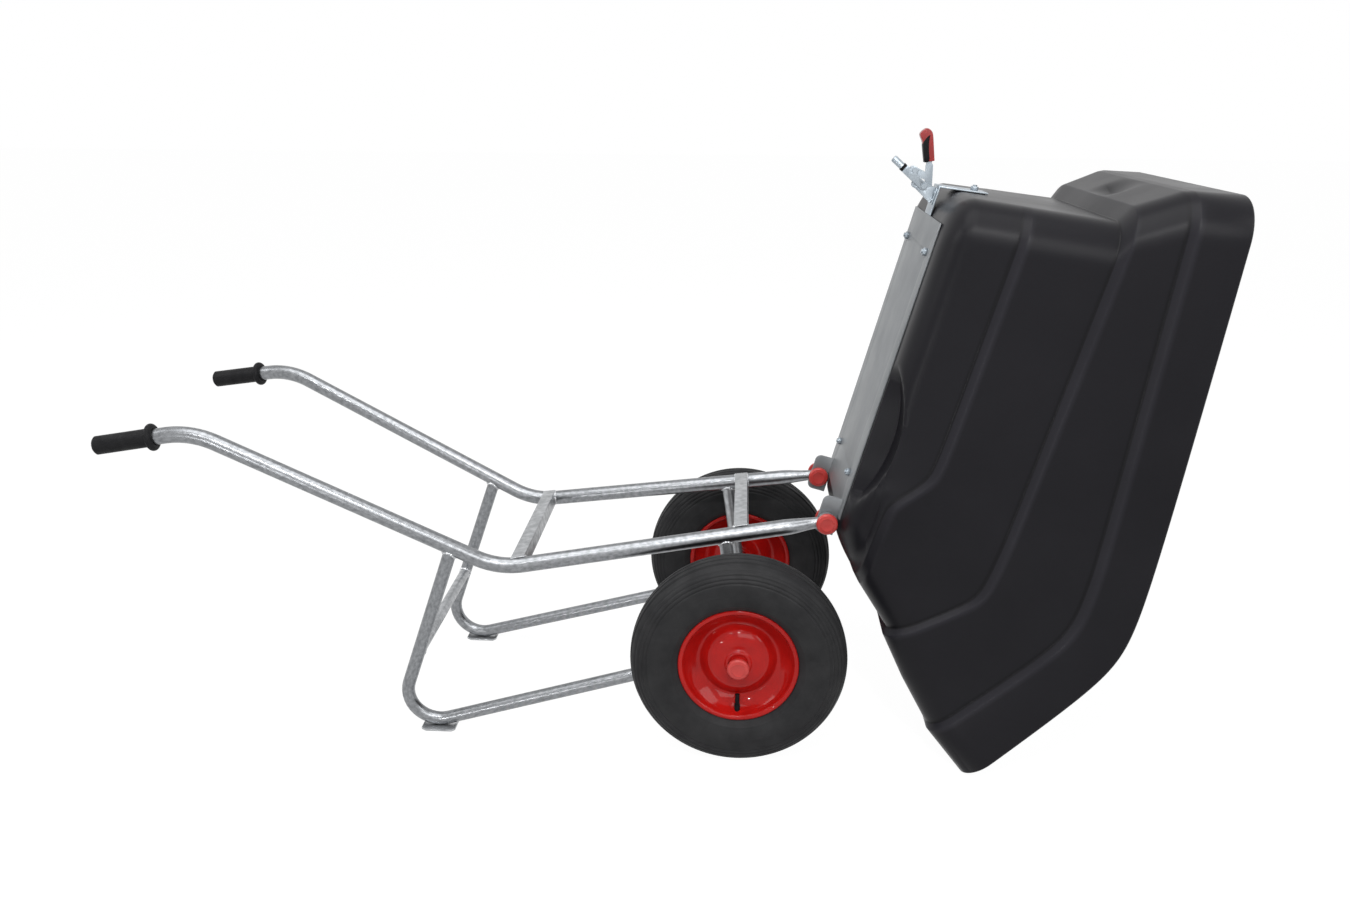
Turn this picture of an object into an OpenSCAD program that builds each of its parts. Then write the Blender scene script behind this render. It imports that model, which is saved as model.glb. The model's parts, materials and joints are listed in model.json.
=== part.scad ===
// Two-wheeled tipping dump cart: a tube frame on an axle, with a moulded tub
// that tips forward about a hinge and is locked down by a toggle clamp.
// X points forward, to the side that the tub tips to, Z points up, and the
// cart stands on Z = 0 with the tub tipped out.

/* [Wheels] */
// Axle centre, forward of the middle of the footprint
axle_x = 192; // [150:1:230]
// Outer diameter of a tyre
tyre_d = 400; // [380:1:410]
// Width of a tyre
tyre_w = 100; // [85:1:104]
// Distance between the middle planes of the wheels
track_w = 496; // [490:1:540]
// Diameter of the seat that the tyre bead sits on
bead_seat_d = 203; // [195:1:210]
// Width of the rim between its flanges
rim_w = 72; // [64:1:80]
// Diameter of the axle rod
axle_d = 20; // [16:1:22]

/* [Frame tubes] */
// Outer diameter of the rail and handle tubes
rail_d = 30; // [26:0.5:34]
// Outer diameter of the leg tubes and struts
leg_d = 25; // [20:0.5:28]
// Outside width of the square cross bars
bar_w = 25; // [20:0.5:28]
// Wall of all tubes
tube_wall = 2.5; // [1.5:0.1:4]
// Bend radius of the rail tubes, on the tube axis
rail_bend_r = 150; // [100:5:170]
// Bend radius of the leg tubes, on the tube axis
leg_bend_r = 60; // [45:1:75]

/* [Frame shape] */
// From the axle back to the end of the grips
handle_reach = 1167; // [1140:1:1250]
// Half of the distance between the grip ends
handle_half = 250; // [230:1:290]
// Height of the grip ends
handle_h = 581; // [540:1:600]
// Length of a handle from its end to its upper bend
handle_run = 173; // [160:1:220]
// Half of the distance between the upper bends
upper_bend_half = 238; // [225:1:260]
// Height of the upper bends
upper_bend_h = 608; // [590:1:650]
// From the end of the base plate back to the lower bends of the rails, tub down
bend_behind = 34; // [30:1:60]
// Half of the distance between the lower bends
lower_bend_half = 190; // [180:1:205]
// Height of the lower bends
lower_bend_h = 339; // [325:1:350]
// From the axle forward to the tub hinge
hinge_reach = 159; // [140:1:180]
// Half of the distance between the hinge bushes
hinge_half = 139; // [132:1:145]
// Height of the tub hinge
hinge_h = 431; // [425:1:445]
// From the axle back to the middle of a foot bend
foot_reach = 581; // [560:1:600]
// Half of the distance between the feet
foot_half = 195; // [185:1:205]
// Half of the distance between the front ends of the legs
leg_front_half = 174; // [168:1:176]
// Lean of the upright part of a leg
leg_lean = 19; // [14:0.5:24]

/* [Tub] */
// Tilt of the tipped tub, from its base lying flat
tub_tilt = 105; // [95:0.5:105]
// Wall of the tub
tub_wall = 4; // [3:0.5:7]
// From the end of the base plate back to the rear wall of the tub
tub_behind = 57; // [50:1:66]
// From the rear wall of the tub back to the rear edge of the rim
rim_behind = 121; // [105:1:140]
// From the hinge forward to the nose lip
lip_reach = 349; // [330:1:349]
// Half width of the flat base
base_half = 160; // [155:1:170]
// Half width at the top of the base fillet
side_half = 228; // [220:1:236]
// Half width at the rim
rim_half = 325; // [312:1:335]
// Height of the lowest step line above the hinge
step1_h = 132; // [120:1:140]
// Height of the middle step line above the hinge
step2_h = 284; // [270:1:300]
// Height of the top step line above the hinge, at the rear
step3_h = 358; // [345:1:370]
// Height of the rim above the hinge, at the rear
rim_h = 443; // [430:1:460]
// Outward offset of each moulded step
step_w = 10; // [5:0.5:14]
// Radius of the wheel arch about the wheel, tub down
arch_r = 266; // [245:1:272]

/* [Base plate and clamp] */
// Thickness of the base plate and the clamp bracket
plate_t = 3; // [2:0.5:5]
// Half width of the base plate
plate_half = 150; // [140:1:158]
// From the hinge back to the end of the base plate
plate_len = 579; // [560:1:585]
// Underside of the base plate above the hinge axis
plate_lift = 18; // [17:0.5:22]
// Width of the clamp bracket strap
strap_w = 60; // [56:1:90]
// Length of the clamp arm from its pivot
arm_len = 74; // [66:1:84]
// Length of the clamp lever grip
clamp_grip_len = 56; // [45:1:70]

/* [Hidden] */
// Running clearance of a pin in its bore, on the radius
run_gap = 0.05;
// Clearance between neighbouring flat faces that move past each other
side_gap = 0.3;
// Root gap of a welded or seated joint
weld_gap = 0.2;
// Overrun of every cut
cut = 1;
// Lap of a straight tube into its bends, and the step in radius that the lap covers
bend_lap = 1;
bend_fit = 0.05;
// Facets of the large and of the small round shapes
fn_big = 96;
fn_small = 48;
// Facets of the children of a hull
fn_hull = 32;

// Axle, struts and legs
axle_h = tyre_d / 2;
foot_t = 4;
foot_l = 66;
foot_w = 40;
foot_bend_z = foot_t + weld_gap + leg_d / 2 + leg_bend_r;
axle_drop = (axle_d + leg_d) / 2 + 2 * weld_gap;
leg_front_over = 24;
foot_arm = norm([foot_reach, axle_h - foot_bend_z]);
leg_rise = atan2(axle_h - foot_bend_z, foot_reach) + asin((leg_bend_r - axle_drop) / foot_arm);
leg_front_z = axle_h - axle_drop / cos(leg_rise);
leg_steep = 90 - leg_lean;
leg_half_angle = (leg_steep - leg_rise) / 2;
leg_mid_angle = (leg_steep + leg_rise) / 2;
leg_corner_run = leg_bend_r / sin(leg_half_angle);
foot_corner = [axle_x - foot_reach - leg_corner_run * cos(leg_mid_angle), foot_half,
               foot_bend_z - leg_corner_run * sin(leg_mid_angle)];
leg_front = [axle_x + leg_front_over, leg_front_half, leg_front_z + leg_front_over * tan(leg_rise)];

// Rail path, from the grip end to the hinge
upper_bend_reach = handle_reach - handle_run;
lower_bend_reach = plate_len - hinge_reach + bend_behind;
grip_end = [axle_x - handle_reach, handle_half, handle_h];
upper_bend = [axle_x - upper_bend_reach, upper_bend_half, upper_bend_h];
lower_bend = [axle_x - lower_bend_reach, lower_bend_half, lower_bend_h];
hinge_at = [axle_x + hinge_reach, hinge_half, hinge_h];
hinge_x = hinge_at[0];
rail_slope = atan2(hinge_h - lower_bend_h, hinge_reach + lower_bend_reach);
handle_lean = atan2(upper_bend_h - lower_bend_h, upper_bend_reach - lower_bend_reach);
leg_top_x = (foot_corner[0] * cos(leg_lean) + (lower_bend_h - foot_corner[2] + lower_bend[0] * tan(handle_lean))
             * sin(leg_lean)) / (cos(leg_lean) + tan(handle_lean) * sin(leg_lean));
leg_top = on_line(lower_bend, upper_bend, leg_top_x);
strut_top_x = axle_x - (hinge_h - axle_h - hinge_reach * tan(rail_slope)) * sin(rail_slope) * cos(rail_slope);
strut_top = on_line(lower_bend, hinge_at, strut_top_x);

// Hinge hardware
pin_d = axle_d;
bush_d = rail_d;
bush_l = 24;
rail_taper_l = 82;
rail_neck_l = 28;
rail_end_share = 0.66;
ear_t = 4;
ear_back = 46;
ear_front = 28;
ear_drop = 17;
ear_round = 12;
cap_d = 40;
cap_t = 8;
cap_skin = 2;
cap_round = 2.5;
cap_ring_d = 24;
cap_ring_t = 0.8;
bush_in = hinge_half - bush_l / 2;
bush_out = hinge_half + bush_l / 2;
ear_out = bush_in - side_gap;
ear_in = ear_out - ear_t;
hinge_cap_in = ear_in - side_gap;
hinge_cap_out = bush_out + side_gap;

// Cross members
bar_past_plate = 2;
rear_bar_back = plate_len + bar_past_plate;
front_bar_back = 160;
seat_gap = 0.5;
leg_bar_d = 22;
leg_bar_share = 0.44;
leg_bar_at = foot_corner + (leg_top - foot_corner) * leg_bar_share;

// Grips
grip_l = 112;
grip_d = 34;
grip_guard_d = 50;
grip_guard_t = 13;
grip_skin = 3;

// Wheels
wheel_y = track_w / 2;
bead_r = bead_seat_d / 2;
rim_t = 2.5;
flange_h = 6.5;
well_drop = 15;
well_half_share = 0.42;
hub_d = 36;
hub_l = 84;
hub_bore_d = 28;
bearing_l = 16;
disc_hub_y = 22;
disc_rim_y = 10;
dish_r = 66;
dish_y = 8;
shoulder_r = 50;
tyre_t = 7;
tyre_mid_share = 0.5;
tyre_round_share = 0.78;
tyre_steps = 28;
bead_w = 12;
bead_half = rim_w / 2 - rim_t;
tyre_mid_r = bead_r + (tyre_d / 2 - bead_r) * tyre_mid_share;
tread_n = 4;
tread_pitch = 15;
tread_w = 4;
tread_deep = 4;
tube_gap = 1;
tube_skin = 2;
valve_d = 8;
valve_l = 34;
valve_y = 22;
washer_d = 36;
washer_t = 2;
spacer_d = 28;
spacer_gap = 2;
wheel_side_gap = 0.4;
hub_end = wheel_y + hub_l / 2;
hub_start = wheel_y - hub_l / 2;
axle_end = hub_end + wheel_side_gap + washer_t + weld_gap + cap_t - cap_skin - side_gap;

// Tub sections
tub_rear = plate_len + tub_behind;
rim_rear = tub_rear + rim_behind;
base_h = plate_lift + plate_t + weld_gap;
fillet_h = 45;
fillet_shares = [[0, 0], [0.38, 0.08], [0.7, 0.27], [0.9, 0.6], [1, 1]];
rear_lean_share = 0.13;
step_rise = 13;
overhang_step = 30;
overhang_top = 20;
side_rise = 7.3;
rim_rise = 7.7;
nose_shares = [0.06, 0.40, 0.44, 0.838, 0.87];
bend1_x = -124;
bend1_h = 100;
bend1_fall = 42;
bend2_x = 84;
bend2_h = 216;
bend2_fall = 48;
bend3_x = 164;
bend3_h = 366;
bend3_fall = 34;
rim_bend_x = 161;
rim_bend_h = 478;
rim_fall = 32;
bend_softs = [10, 14, 22, 28];
step1_front_h = 72;
rear_r = 70;
nose_r = 50;
edge_n = 6;
side_n = 22;
rear_n = 8;
wheel_in_tub = [-hinge_reach * cos(rail_slope) - (hinge_h - axle_h) * sin(rail_slope),
                hinge_reach * sin(rail_slope) - (hinge_h - axle_h) * cos(rail_slope)];
arch_inset = 12;
arch_half = base_half + arch_inset;
hold_half = 70;
hold_deep = 14;

// Tub bolts, as places on the base
bolt_d = 8;
bolt_gap = 0.3;
bolt_head_d = 20;
bolt_head_t = 4;
bolt_washer_d = 30;
bolt_washer_t = 2;
nut_d = 14.5;
nut_t = 6.5;
bolt_tail = 3;
bolt_rear_in = 56;
bolt_rear_back = plate_len - bolt_rear_in;
bolt_rear_half = 118;
bolt_front_back = 93;
bolt_front_half = 100;
bolt_places = [for (y = [-1, 1]) each [[-bolt_rear_back, y * bolt_rear_half],
                                       [-bolt_front_back, y * bolt_front_half]]];

// Clamp, as places in the tub's own frame
strap_up = 106;
strap_bolt_h = 86;
strap_in = tub_rear - (fillet_h - plate_t) * rear_lean_share;
clamp_in = 11;
clamp_x = clamp_in - tub_rear;
clamp_h = -6;
arm_open = 244;
lever_open = 203;
link_pin = [4.363, 11.261];
link_base = [0.811, -13.418];
arm_pin_run = 33.5;
arm_pin_angle = 228;
arm_pin = arm_pin_run * [cos(arm_pin_angle), sin(arm_pin_angle)];
lever_t = 6;
link_t = 2.5;
cheek_t = 2.5;
arm_t = 3;
link_in = lever_t / 2 + side_gap;
cheek_in = link_in + link_t + side_gap;
arm_in = cheek_in + cheek_t + side_gap;
arm_out = arm_in + arm_t;
rivet_d = 6;
rivet_head_d = 9;
rivet_head_t = 1.5;
lobe_r = 7;
arm_bar_d = 13;
arm_bar_from = 44;
arm_ring_d = 15;
arm_ring_l = 5;
arm_ring_share = 0.2;
arm_lobe_share = 0.8;
lever_grip_from = [-36.6, -0.3];
lever_tang = 10;
lever_w = 13;
lever_knee_share = 0.5;
clamp_grip_w = 19;
clamp_grip_t = 15;
clamp_foot_l = 30;
clamp_foot_w = 44;
clamp_foot_t = 2.5;

// Remaining small sizes
grip_round = 3;
bead_angle = 55;
valve_share = 0.4;
nose_fillet_share = 0.18;
base_nose_share = 1.8;
step_nose_shares = [1.5, 1, 1];
nose_run_share = 1.0;
corner_share = 0.45;
nose_taper = 10;
nose_tapers = [12, 16, 22];
half_shares = [0.155, 0.454, 0.742];
overhang_lip = 5;
hold_share = 0.5;
lift_share = 1;
taper_from = -100;
floor_soft_share = 0.5;
strap_reach = 30;
rear_lean = atan(rear_lean_share);
plate_front_back = 14;
strap_tuck = 0.7;
wall_through = tub_wall * (1 + rear_lean_share) + weld_gap;
clamp_foot_from = -3;
base_rivet_shares = [0.3, 0.75];
base_rivet_share = 0.68;
arm_neck = 3;
arm_tip = 2;
link_r = 5;
open_gap = 0.3;
clamp_grip_from = 8;
tang_share = 0.7;
grip_neck_share = 0.72;
grip_end_shares = [0.35, 0.86];
swell_shares = [0.7, 0.5];

// Colours of the finishes
zinc = "silver";
steel = "lightsteelblue";
red = "firebrick";
black = "dimgray";
plastic = "darkslategray";

// Point on the line through a and b at a given x
function on_line(a, b, x) = a + (b - a) * (x - a[0]) / (b[0] - a[0]);
function heading(a, b) = (b - a) / norm(b - a);
function turn_at(path, i) = acos(heading(path[i - 1], path[i]) * heading(path[i], path[i + 1]));
function is_end(path, i) = i == 0 || i == len(path) - 1;
function trim_at(path, i, r) = is_end(path, i) ? 0 : r * tan(turn_at(path, i) / 2);
function soft_min(a, b, s) = (a + b) / 2 - sqrt(pow((a - b) / 2, 2) + s * s);
function soft_max(a, b, s) = (a + b) / 2 + sqrt(pow((a - b) / 2, 2) + s * s);
function mix(a, b, share) = a + (b - a) * share;
function polar(run, angle) = run * [cos(angle), sin(angle)];

// Draws its children from a towards b, along their own Z
module from_to(a, b) {
    d = b - a;
    translate(a) rotate([0, acos(d[2] / norm(d)), atan2(d[1], d[0])]) children();
}

// One bend of a rod at the corner v, from heading u to heading w
module bend(v, u, w, r, d) {
    turn = acos(u * w);
    n = cross(u, w) / norm(cross(u, w));
    c = v + (w - u) / norm(w - u) * r / cos(turn / 2);
    out = (v - u * r * tan(turn / 2) - c) / r;
    multmatrix([[out[0], u[0], n[0], c[0]], [out[1], u[1], n[1], c[1]], [out[2], u[2], n[2], c[2]], [0, 0, 0, 1]])
        rotate_extrude(angle = turn, $fn = fn_big) translate([r, 0]) circle(d = d - 2 * bend_fit, $fn = fn_small);
}

// Rod along a path of corners, with equal bends and its ends run over
module bent_rod(path, r, d, over) {
    for (i = [0 : len(path) - 2]) {
        u = heading(path[i], path[i + 1]);
        a = path[i] + u * (trim_at(path, i, r) - (is_end(path, i) ? over : bend_lap));
        b = path[i + 1] - u * (trim_at(path, i + 1, r) - (is_end(path, i + 1) ? over : bend_lap));
        from_to(a, b) cylinder(h = norm(b - a), d = d, $fn = fn_small);
    }
    for (i = [1 : 1 : len(path) - 2])
        bend(path[i], heading(path[i - 1], path[i]), heading(path[i], path[i + 1]), r, d);
}

module bent_tube(path, r, d, wall) {
    difference() {
        bent_rod(path, r, d, 0);
        bent_rod(path, r, d - 2 * wall, cut);
    }
}

// Puts its children on one side: 1 is left, -1 is right
module on_side(side) {
    if (side > 0) children();
    else mirror([0, 1, 0]) children();
}

// Frames of the hinge line, the rails and the tub
module along_rails() {
    translate([hinge_x, 0, hinge_h]) rotate([0, -rail_slope, 0]) children();
}

module in_tub() {
    translate([hinge_x, 0, hinge_h]) rotate([0, tub_tilt, 0]) children();
}

module in_clamp() {
    in_tub() translate([clamp_x, 0, clamp_h]) children();
}

// Flat piece in the XZ plane, from y across its thickness t
module slab(y, t) {
    translate([0, y + t, 0]) rotate([90, 0, 0]) linear_extrude(t) children();
}

module slab_pair(y, t) {
    slab(y, t) children();
    slab(-y - t, t) children();
}

// Round bar across Y
module cross_pin(x, z, d, y0, y1) {
    translate([x, y1, z]) rotate([90, 0, 0]) cylinder(h = y1 - y0, d = d, $fn = fn_small);
}

module cross_pin_pair(x, z, d, y0, y1) {
    cross_pin(x, z, d, y0, y1);
    cross_pin(x, z, d, -y1, -y0);
}

// Outline round a set of points, at a distance r
function out_angle(a, b) = atan2(b[1] - a[1], b[0] - a[0]) - 90;
function rounded(points, r) =
    [for (i = [0 : len(points) - 1])
     let (n = len(points), p = points[i], q = points[(i + n - 1) % n], w = points[(i + 1) % n],
          from = out_angle(q, p), swing = out_angle(p, w) - from, turn = swing < 0 ? swing + 360 : swing)
     for (k = [0 : edge_n]) p + polar(r, from + turn * k / edge_n)];

// Flat bar outline with round ends
module link_shape(a, b, w) {
    translate(a) circle(d = w, $fn = fn_small);
    translate(b) circle(d = w, $fn = fn_small);
    translate(a) rotate(atan2(b[1] - a[1], b[0] - a[0])) translate([0, -w / 2]) square([norm(b - a), w]);
}

// Rails with their handles
rail_tube_start = grip_end + heading(grip_end, upper_bend) * (grip_skin + side_gap);
rail_taper_at = hinge_at - heading(lower_bend, hinge_at) * rail_taper_l;
rail_plug_at = rail_taper_at + heading(lower_bend, hinge_at) * weld_gap;
rail_neck_at = on_line(lower_bend, hinge_at, hinge_x - rail_neck_l) * [[1, 0, 0], [0, 0, 0], [0, 0, 1]]
               + [0, hinge_half, 0];
rail_path = [rail_tube_start, upper_bend, lower_bend, rail_taper_at];
leg_path = [leg_top, foot_corner, leg_front];

// Flattened end of a rail, level with the hinge bush
module rail_end(at) {
    translate(at) rotate([90, 0, 0])
        cylinder(h = bush_l - tube_wall, d = rail_d * rail_end_share, center = true, $fn = fn_hull);
}

module rail(side) {
    color(zinc) on_side(side) bent_tube(rail_path, rail_bend_r, rail_d, tube_wall);
}

// Tapered end piece of a rail, with the bush that the hinge pin sits in
module hinge_bush(side) {
    color(zinc) on_side(side) difference() {
        union() {
            hull() {
                from_to(rail_plug_at, hinge_at) cylinder(h = tube_wall, d = rail_d, $fn = fn_hull);
                rail_end(rail_neck_at);
            }
            hull() {
                rail_end(rail_neck_at);
                rail_end(hinge_at);
            }
            cross_pin(hinge_x, hinge_h, bush_d, bush_in, bush_out);
        }
        cross_pin(hinge_x, hinge_h, pin_d + 2 * run_gap, bush_in - cut, bush_out + cut);
    }
}

// Outside of a rail, with the root gap of a weld
module rail_cope() {
    bent_rod(rail_path, rail_bend_r, rail_d + 2 * weld_gap, 0);
}

module leg(side) {
    color(zinc) on_side(side) difference() {
        bent_tube(leg_path, leg_bend_r, leg_d, tube_wall);
        rail_cope();
    }
}

// Foot plate under the bend of a leg, turned up at both ends
module foot(side) {
    half = foot_l / 2;
    flat = half - foot_t * 2;
    color(zinc) on_side(side) translate([axle_x - foot_reach, foot_half, 0])
        slab(-foot_w / 2, foot_w)
            polygon([[-half, foot_t], [-flat, 0], [flat, 0], [half, foot_t], [half, 2 * foot_t], [flat, foot_t],
                     [-flat, foot_t], [-half, 2 * foot_t]]);
}

module leg_cross_tube() {
    span = leg_bar_at[1];
    color(zinc) difference() {
        translate([leg_bar_at[0], 0, leg_bar_at[2]]) rotate([90, 0, 0])
            difference() {
                cylinder(h = 2 * span, d = leg_bar_d, center = true, $fn = fn_small);
                cylinder(h = 2 * span + cut, d = leg_bar_d - 2 * tube_wall, center = true, $fn = fn_small);
            }
        for (side = [-1, 1])
            on_side(side) bent_rod(leg_path, leg_bend_r, leg_d + 2 * weld_gap, 0);
    }
}

// Square tube between the rails, level with the underside of the base plate
module cross_bar(back) {
    half = on_line(lower_bend, hinge_at, hinge_x - back * cos(rail_slope))[1];
    color(zinc) difference() {
        along_rails() translate([-back, 0, plate_lift - seat_gap - bar_w / 2]) rotate([90, 0, 0])
            linear_extrude(2 * half, center = true) difference() {
                square(bar_w, center = true);
                square(bar_w - 2 * tube_wall, center = true);
            }
        for (side = [-1, 1])
            on_side(side) rail_cope();
    }
}

// Upright between the axle and a rail
module strut(side) {
    foot_at = [axle_x, strut_top[1], axle_h];
    color(zinc) on_side(side) difference() {
        bent_tube([foot_at, strut_top], leg_bend_r, leg_d, tube_wall);
        rail_cope();
        cross_pin(axle_x, axle_h, axle_d + 2 * weld_gap, 0, wheel_y);
    }
}

// Smooth moulded grip with a round guard ring, pushed over the handle
module grip(side) {
    tip = grip_round;
    ring_at = grip_l - grip_guard_t / 2;
    color(black) on_side(side) from_to(grip_end, upper_bend) difference() {
        union() {
            rotate_extrude($fn = fn_big)
                polygon([[0, 0], [grip_d / 2 - tip, 0], [grip_d / 2, tip], [grip_d / 2, ring_at], [0, ring_at]]);
            translate([0, 0, ring_at]) rotate_extrude($fn = fn_big)
                translate([(grip_guard_d - grip_guard_t) / 2, 0]) circle(d = grip_guard_t, $fn = fn_small);
        }
        translate([0, 0, grip_skin]) cylinder(h = grip_l, d = rail_d + 2 * run_gap, $fn = fn_big);
    }
}

module axle() {
    color(zinc) cross_pin(axle_x, axle_h, axle_d, -axle_end, axle_end);
}

// Plain ring on a shaft across Y
module shaft_ring(x, z, d, bore, y0, y1) {
    difference() {
        cross_pin(x, z, d, y0, y1);
        cross_pin(x, z, bore, y0 - cut, y1 + cut);
    }
}

module axle_spacers() {
    y0 = leg_front_half + leg_d / 2 + spacer_gap;
    y1 = hub_start - wheel_side_gap - washer_t - weld_gap;
    color(zinc) for (side = [-1, 1])
        on_side(side) shaft_ring(axle_x, axle_h, spacer_d, axle_d + 2 * run_gap, y0, y1);
}

module axle_washers() {
    color(zinc) for (side = [-1, 1])
        on_side(side) for (y = [hub_start - wheel_side_gap - washer_t, hub_end + wheel_side_gap])
            shaft_ring(axle_x, axle_h, washer_d, axle_d + 2 * run_gap, y, y + washer_t);
}

// Push-on shaft cap, with its mouth at y = 0 and a raised ring on its face
module shaft_cap() {
    r = cap_d / 2;
    rotate([-90, 0, 0]) rotate_extrude($fn = fn_big)
        polygon([[pin_d / 2 + run_gap, 0], [r, 0], [r, cap_t - cap_round], [r - cap_round, cap_t],
                 [cap_ring_d / 2 + cap_ring_t, cap_t], [cap_ring_d / 2 + cap_ring_t, cap_t + cap_ring_t],
                 [cap_ring_d / 2, cap_t + cap_ring_t], [cap_ring_d / 2, cap_t], [0, cap_t], [0, cap_t - cap_skin],
                 [pin_d / 2 + run_gap, cap_t - cap_skin]]);
}

module axle_caps() {
    color(red) for (side = [-1, 1])
        on_side(side) translate([axle_x, axle_end - (cap_t - cap_skin - side_gap), axle_h]) shaft_cap();
}

module hinge_pin(side) {
    reach = cap_t - cap_skin - side_gap;
    color(zinc) on_side(side) cross_pin(hinge_x, hinge_h, pin_d, hinge_cap_in - reach, hinge_cap_out + reach);
}

module hinge_caps() {
    color(red) for (side = [-1, 1])
        on_side(side) {
            translate([hinge_x, hinge_cap_out, hinge_h]) shaft_cap();
            translate([hinge_x, hinge_cap_in, hinge_h]) mirror([0, 1, 0]) shaft_cap();
        }
}

// Wheel frame: Z is the axle, pointing outward
module at_wheel(side) {
    translate([axle_x, side * wheel_y, axle_h]) rotate([-side * 90, 0, 0]) children();
}

// Rounded section of the tyre, as a point at an angle, set in from the outside
function tyre_point(a, inset) =
    let (up = sin(a) < 0 ? tyre_mid_r - bead_r - inset : tyre_d / 2 - tyre_mid_r - inset)
    [tyre_mid_r + up * sign(sin(a)) * pow(abs(sin(a)), tyre_round_share),
     (tyre_w / 2 - inset) * sign(cos(a)) * pow(abs(cos(a)), tyre_round_share)];
function tyre_arc(a0, a1, inset) =
    [for (i = [0 : tyre_steps]) tyre_point(mix(a0, a1, i / tyre_steps), inset)];

module tyre(side) {
    edge = bead_half - side_gap;
    heel = bead_r + side_gap;
    color(black) at_wheel(side) difference() {
        rotate_extrude($fn = fn_big)
            polygon(concat(tyre_arc(-bead_angle, 180 + bead_angle, 0),
                           [[heel + tyre_t, -edge], [heel, -edge], [heel, bead_w - edge]],
                           tyre_arc(180 + bead_angle, -bead_angle, tyre_t),
                           [[heel, edge - bead_w], [heel, edge], [heel + tyre_t, edge]]));
        for (i = [0 : tread_n - 1])
            translate([0, 0, (i - (tread_n - 1) / 2) * tread_pitch])
                rotate_extrude($fn = fn_big) translate([tyre_d / 2 - tread_deep, -tread_w / 2])
                    square([tread_deep + cut, tread_w]);
    }
}

module inner_tube(side) {
    color(black) at_wheel(side) rotate_extrude($fn = fn_big) difference() {
        polygon(tyre_arc(0, 360 - 360 / (tyre_steps + 1), tyre_t + tube_gap));
        polygon(tyre_arc(0, 360 - 360 / (tyre_steps + 1), tyre_t + tube_gap + tube_skin));
    }
}

// Pressed rim: a drop-centre barrel with flanges and two dished discs
module rim(side) {
    half = rim_w / 2;
    well_r = bead_r - well_drop;
    well = half * well_half_share;
    well_foot = well - rim_t;
    barrel = [[bead_r + flange_h, half], [bead_r + flange_h, half - rim_t], [bead_r, half - rim_t], [bead_r, well],
              [well_r, well_foot]];
    lining = [[well_r - rim_t, well_foot + rim_t / 2], [bead_r - rim_t, well + rim_t / 2], [bead_r - rim_t, half]];
    disc = [[well_r - rim_t / 2, disc_rim_y], [dish_r, dish_y], [shoulder_r, disc_hub_y],
            [hub_d / 2 + weld_gap, disc_hub_y], [hub_d / 2 + weld_gap, disc_hub_y - rim_t],
            [shoulder_r - rim_t / 2, disc_hub_y - rim_t], [dish_r - rim_t / 2, dish_y - rim_t],
            [well_r - rim_t / 2, disc_rim_y - rim_t]];
    flip = [for (p = barrel) [p[0], -p[1]]];
    flip_lining = [for (p = lining) [p[0], -p[1]]];
    last = len(barrel) - 1;
    color(red) at_wheel(side) {
        rotate_extrude($fn = fn_big)
            polygon(concat(barrel, [for (i = [last : -1 : 0]) flip[i]],
                           [for (i = [len(lining) - 1 : -1 : 0]) flip_lining[i]], lining));
        rotate_extrude($fn = fn_big) polygon(disc);
        mirror([0, 0, 1]) rotate_extrude($fn = fn_big) polygon(disc);
    }
}

module hub(side) {
    color(red) at_wheel(side) difference() {
        cylinder(h = hub_l, d = hub_d, center = true, $fn = fn_big);
        cylinder(h = hub_l + cut, d = hub_bore_d, center = true, $fn = fn_big);
    }
}

module bearings(side) {
    color(black) at_wheel(side) for (end = [-1, 1])
        translate([0, 0, end * (hub_l - bearing_l) / 2]) difference() {
            cylinder(h = bearing_l, d = hub_bore_d - 2 * run_gap, center = true, $fn = fn_big);
            cylinder(h = bearing_l + cut, d = axle_d + 2 * run_gap, center = true, $fn = fn_big);
        }
}

// Valve stem in the rim, pointing to the hub
module valve(side) {
    color(black) at_wheel(side) translate([0, -(bead_r - rim_t - weld_gap), valve_y]) rotate([-90, 0, 0]) {
        cylinder(h = valve_l * valve_share, d = valve_d + rim_t, $fn = fn_small);
        cylinder(h = valve_l, d = valve_d, $fn = fn_small);
    }
}

// Tub sections, from the base up to the rim. Each is
// [rear x, front x, half width at the rear, half width at the nose, rear radius, nose radius,
//  height at the rear, rise, bend x, bend height, fall, softness, lowest height, hand hold]
function base_section(share) =
    let (in = (side_half - base_half) * (1 - share[0]), z = base_h + fillet_h * share[1])
    [-tub_rear + in, nose_at(z) - in * nose_fillet_share, side_half - in, side_half - in - nose_taper * share[0],
     rear_r - in * corner_share, nose_r * base_nose_share - in * corner_share, z, 0, 0, z, 0, 0, z, 0];
function nose_at(z) = lip_reach * nose_shares[0] + (z - base_h) * nose_run_share;
function wall_at(z) = -tub_rear - (z - base_h - fillet_h) * rear_lean_share;
function half_at(share) = mix(side_half, rim_half, share);
function step_section(k, up) =
    let (half = half_at(half_shares[k]) + step_w * up,
         z = [step1_h, step2_h, step3_h][k] + step_rise * up,
         rear = [wall_at(z), wall_at(step2_h) - overhang_step * up, overhang_top - rim_rear - up * overhang_lip][k],
         front = [nose_at(step1_front_h + step_rise * up), lip_reach * nose_shares[1 + up],
                  lip_reach * nose_shares[3 + up]][k])
    [rear, front, half, half - nose_tapers[k], rear_r, nose_r * step_nose_shares[k], z, [0, 0, side_rise][k],
     [bend1_x, bend2_x, bend3_x][k], [bend1_h, bend2_h, bend3_h][k] + step_rise * up,
     [bend1_fall, bend2_fall, bend3_fall][k], bend_softs[k], k == 0 ? step1_front_h + step_rise * up : -rim_h, 0];
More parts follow.
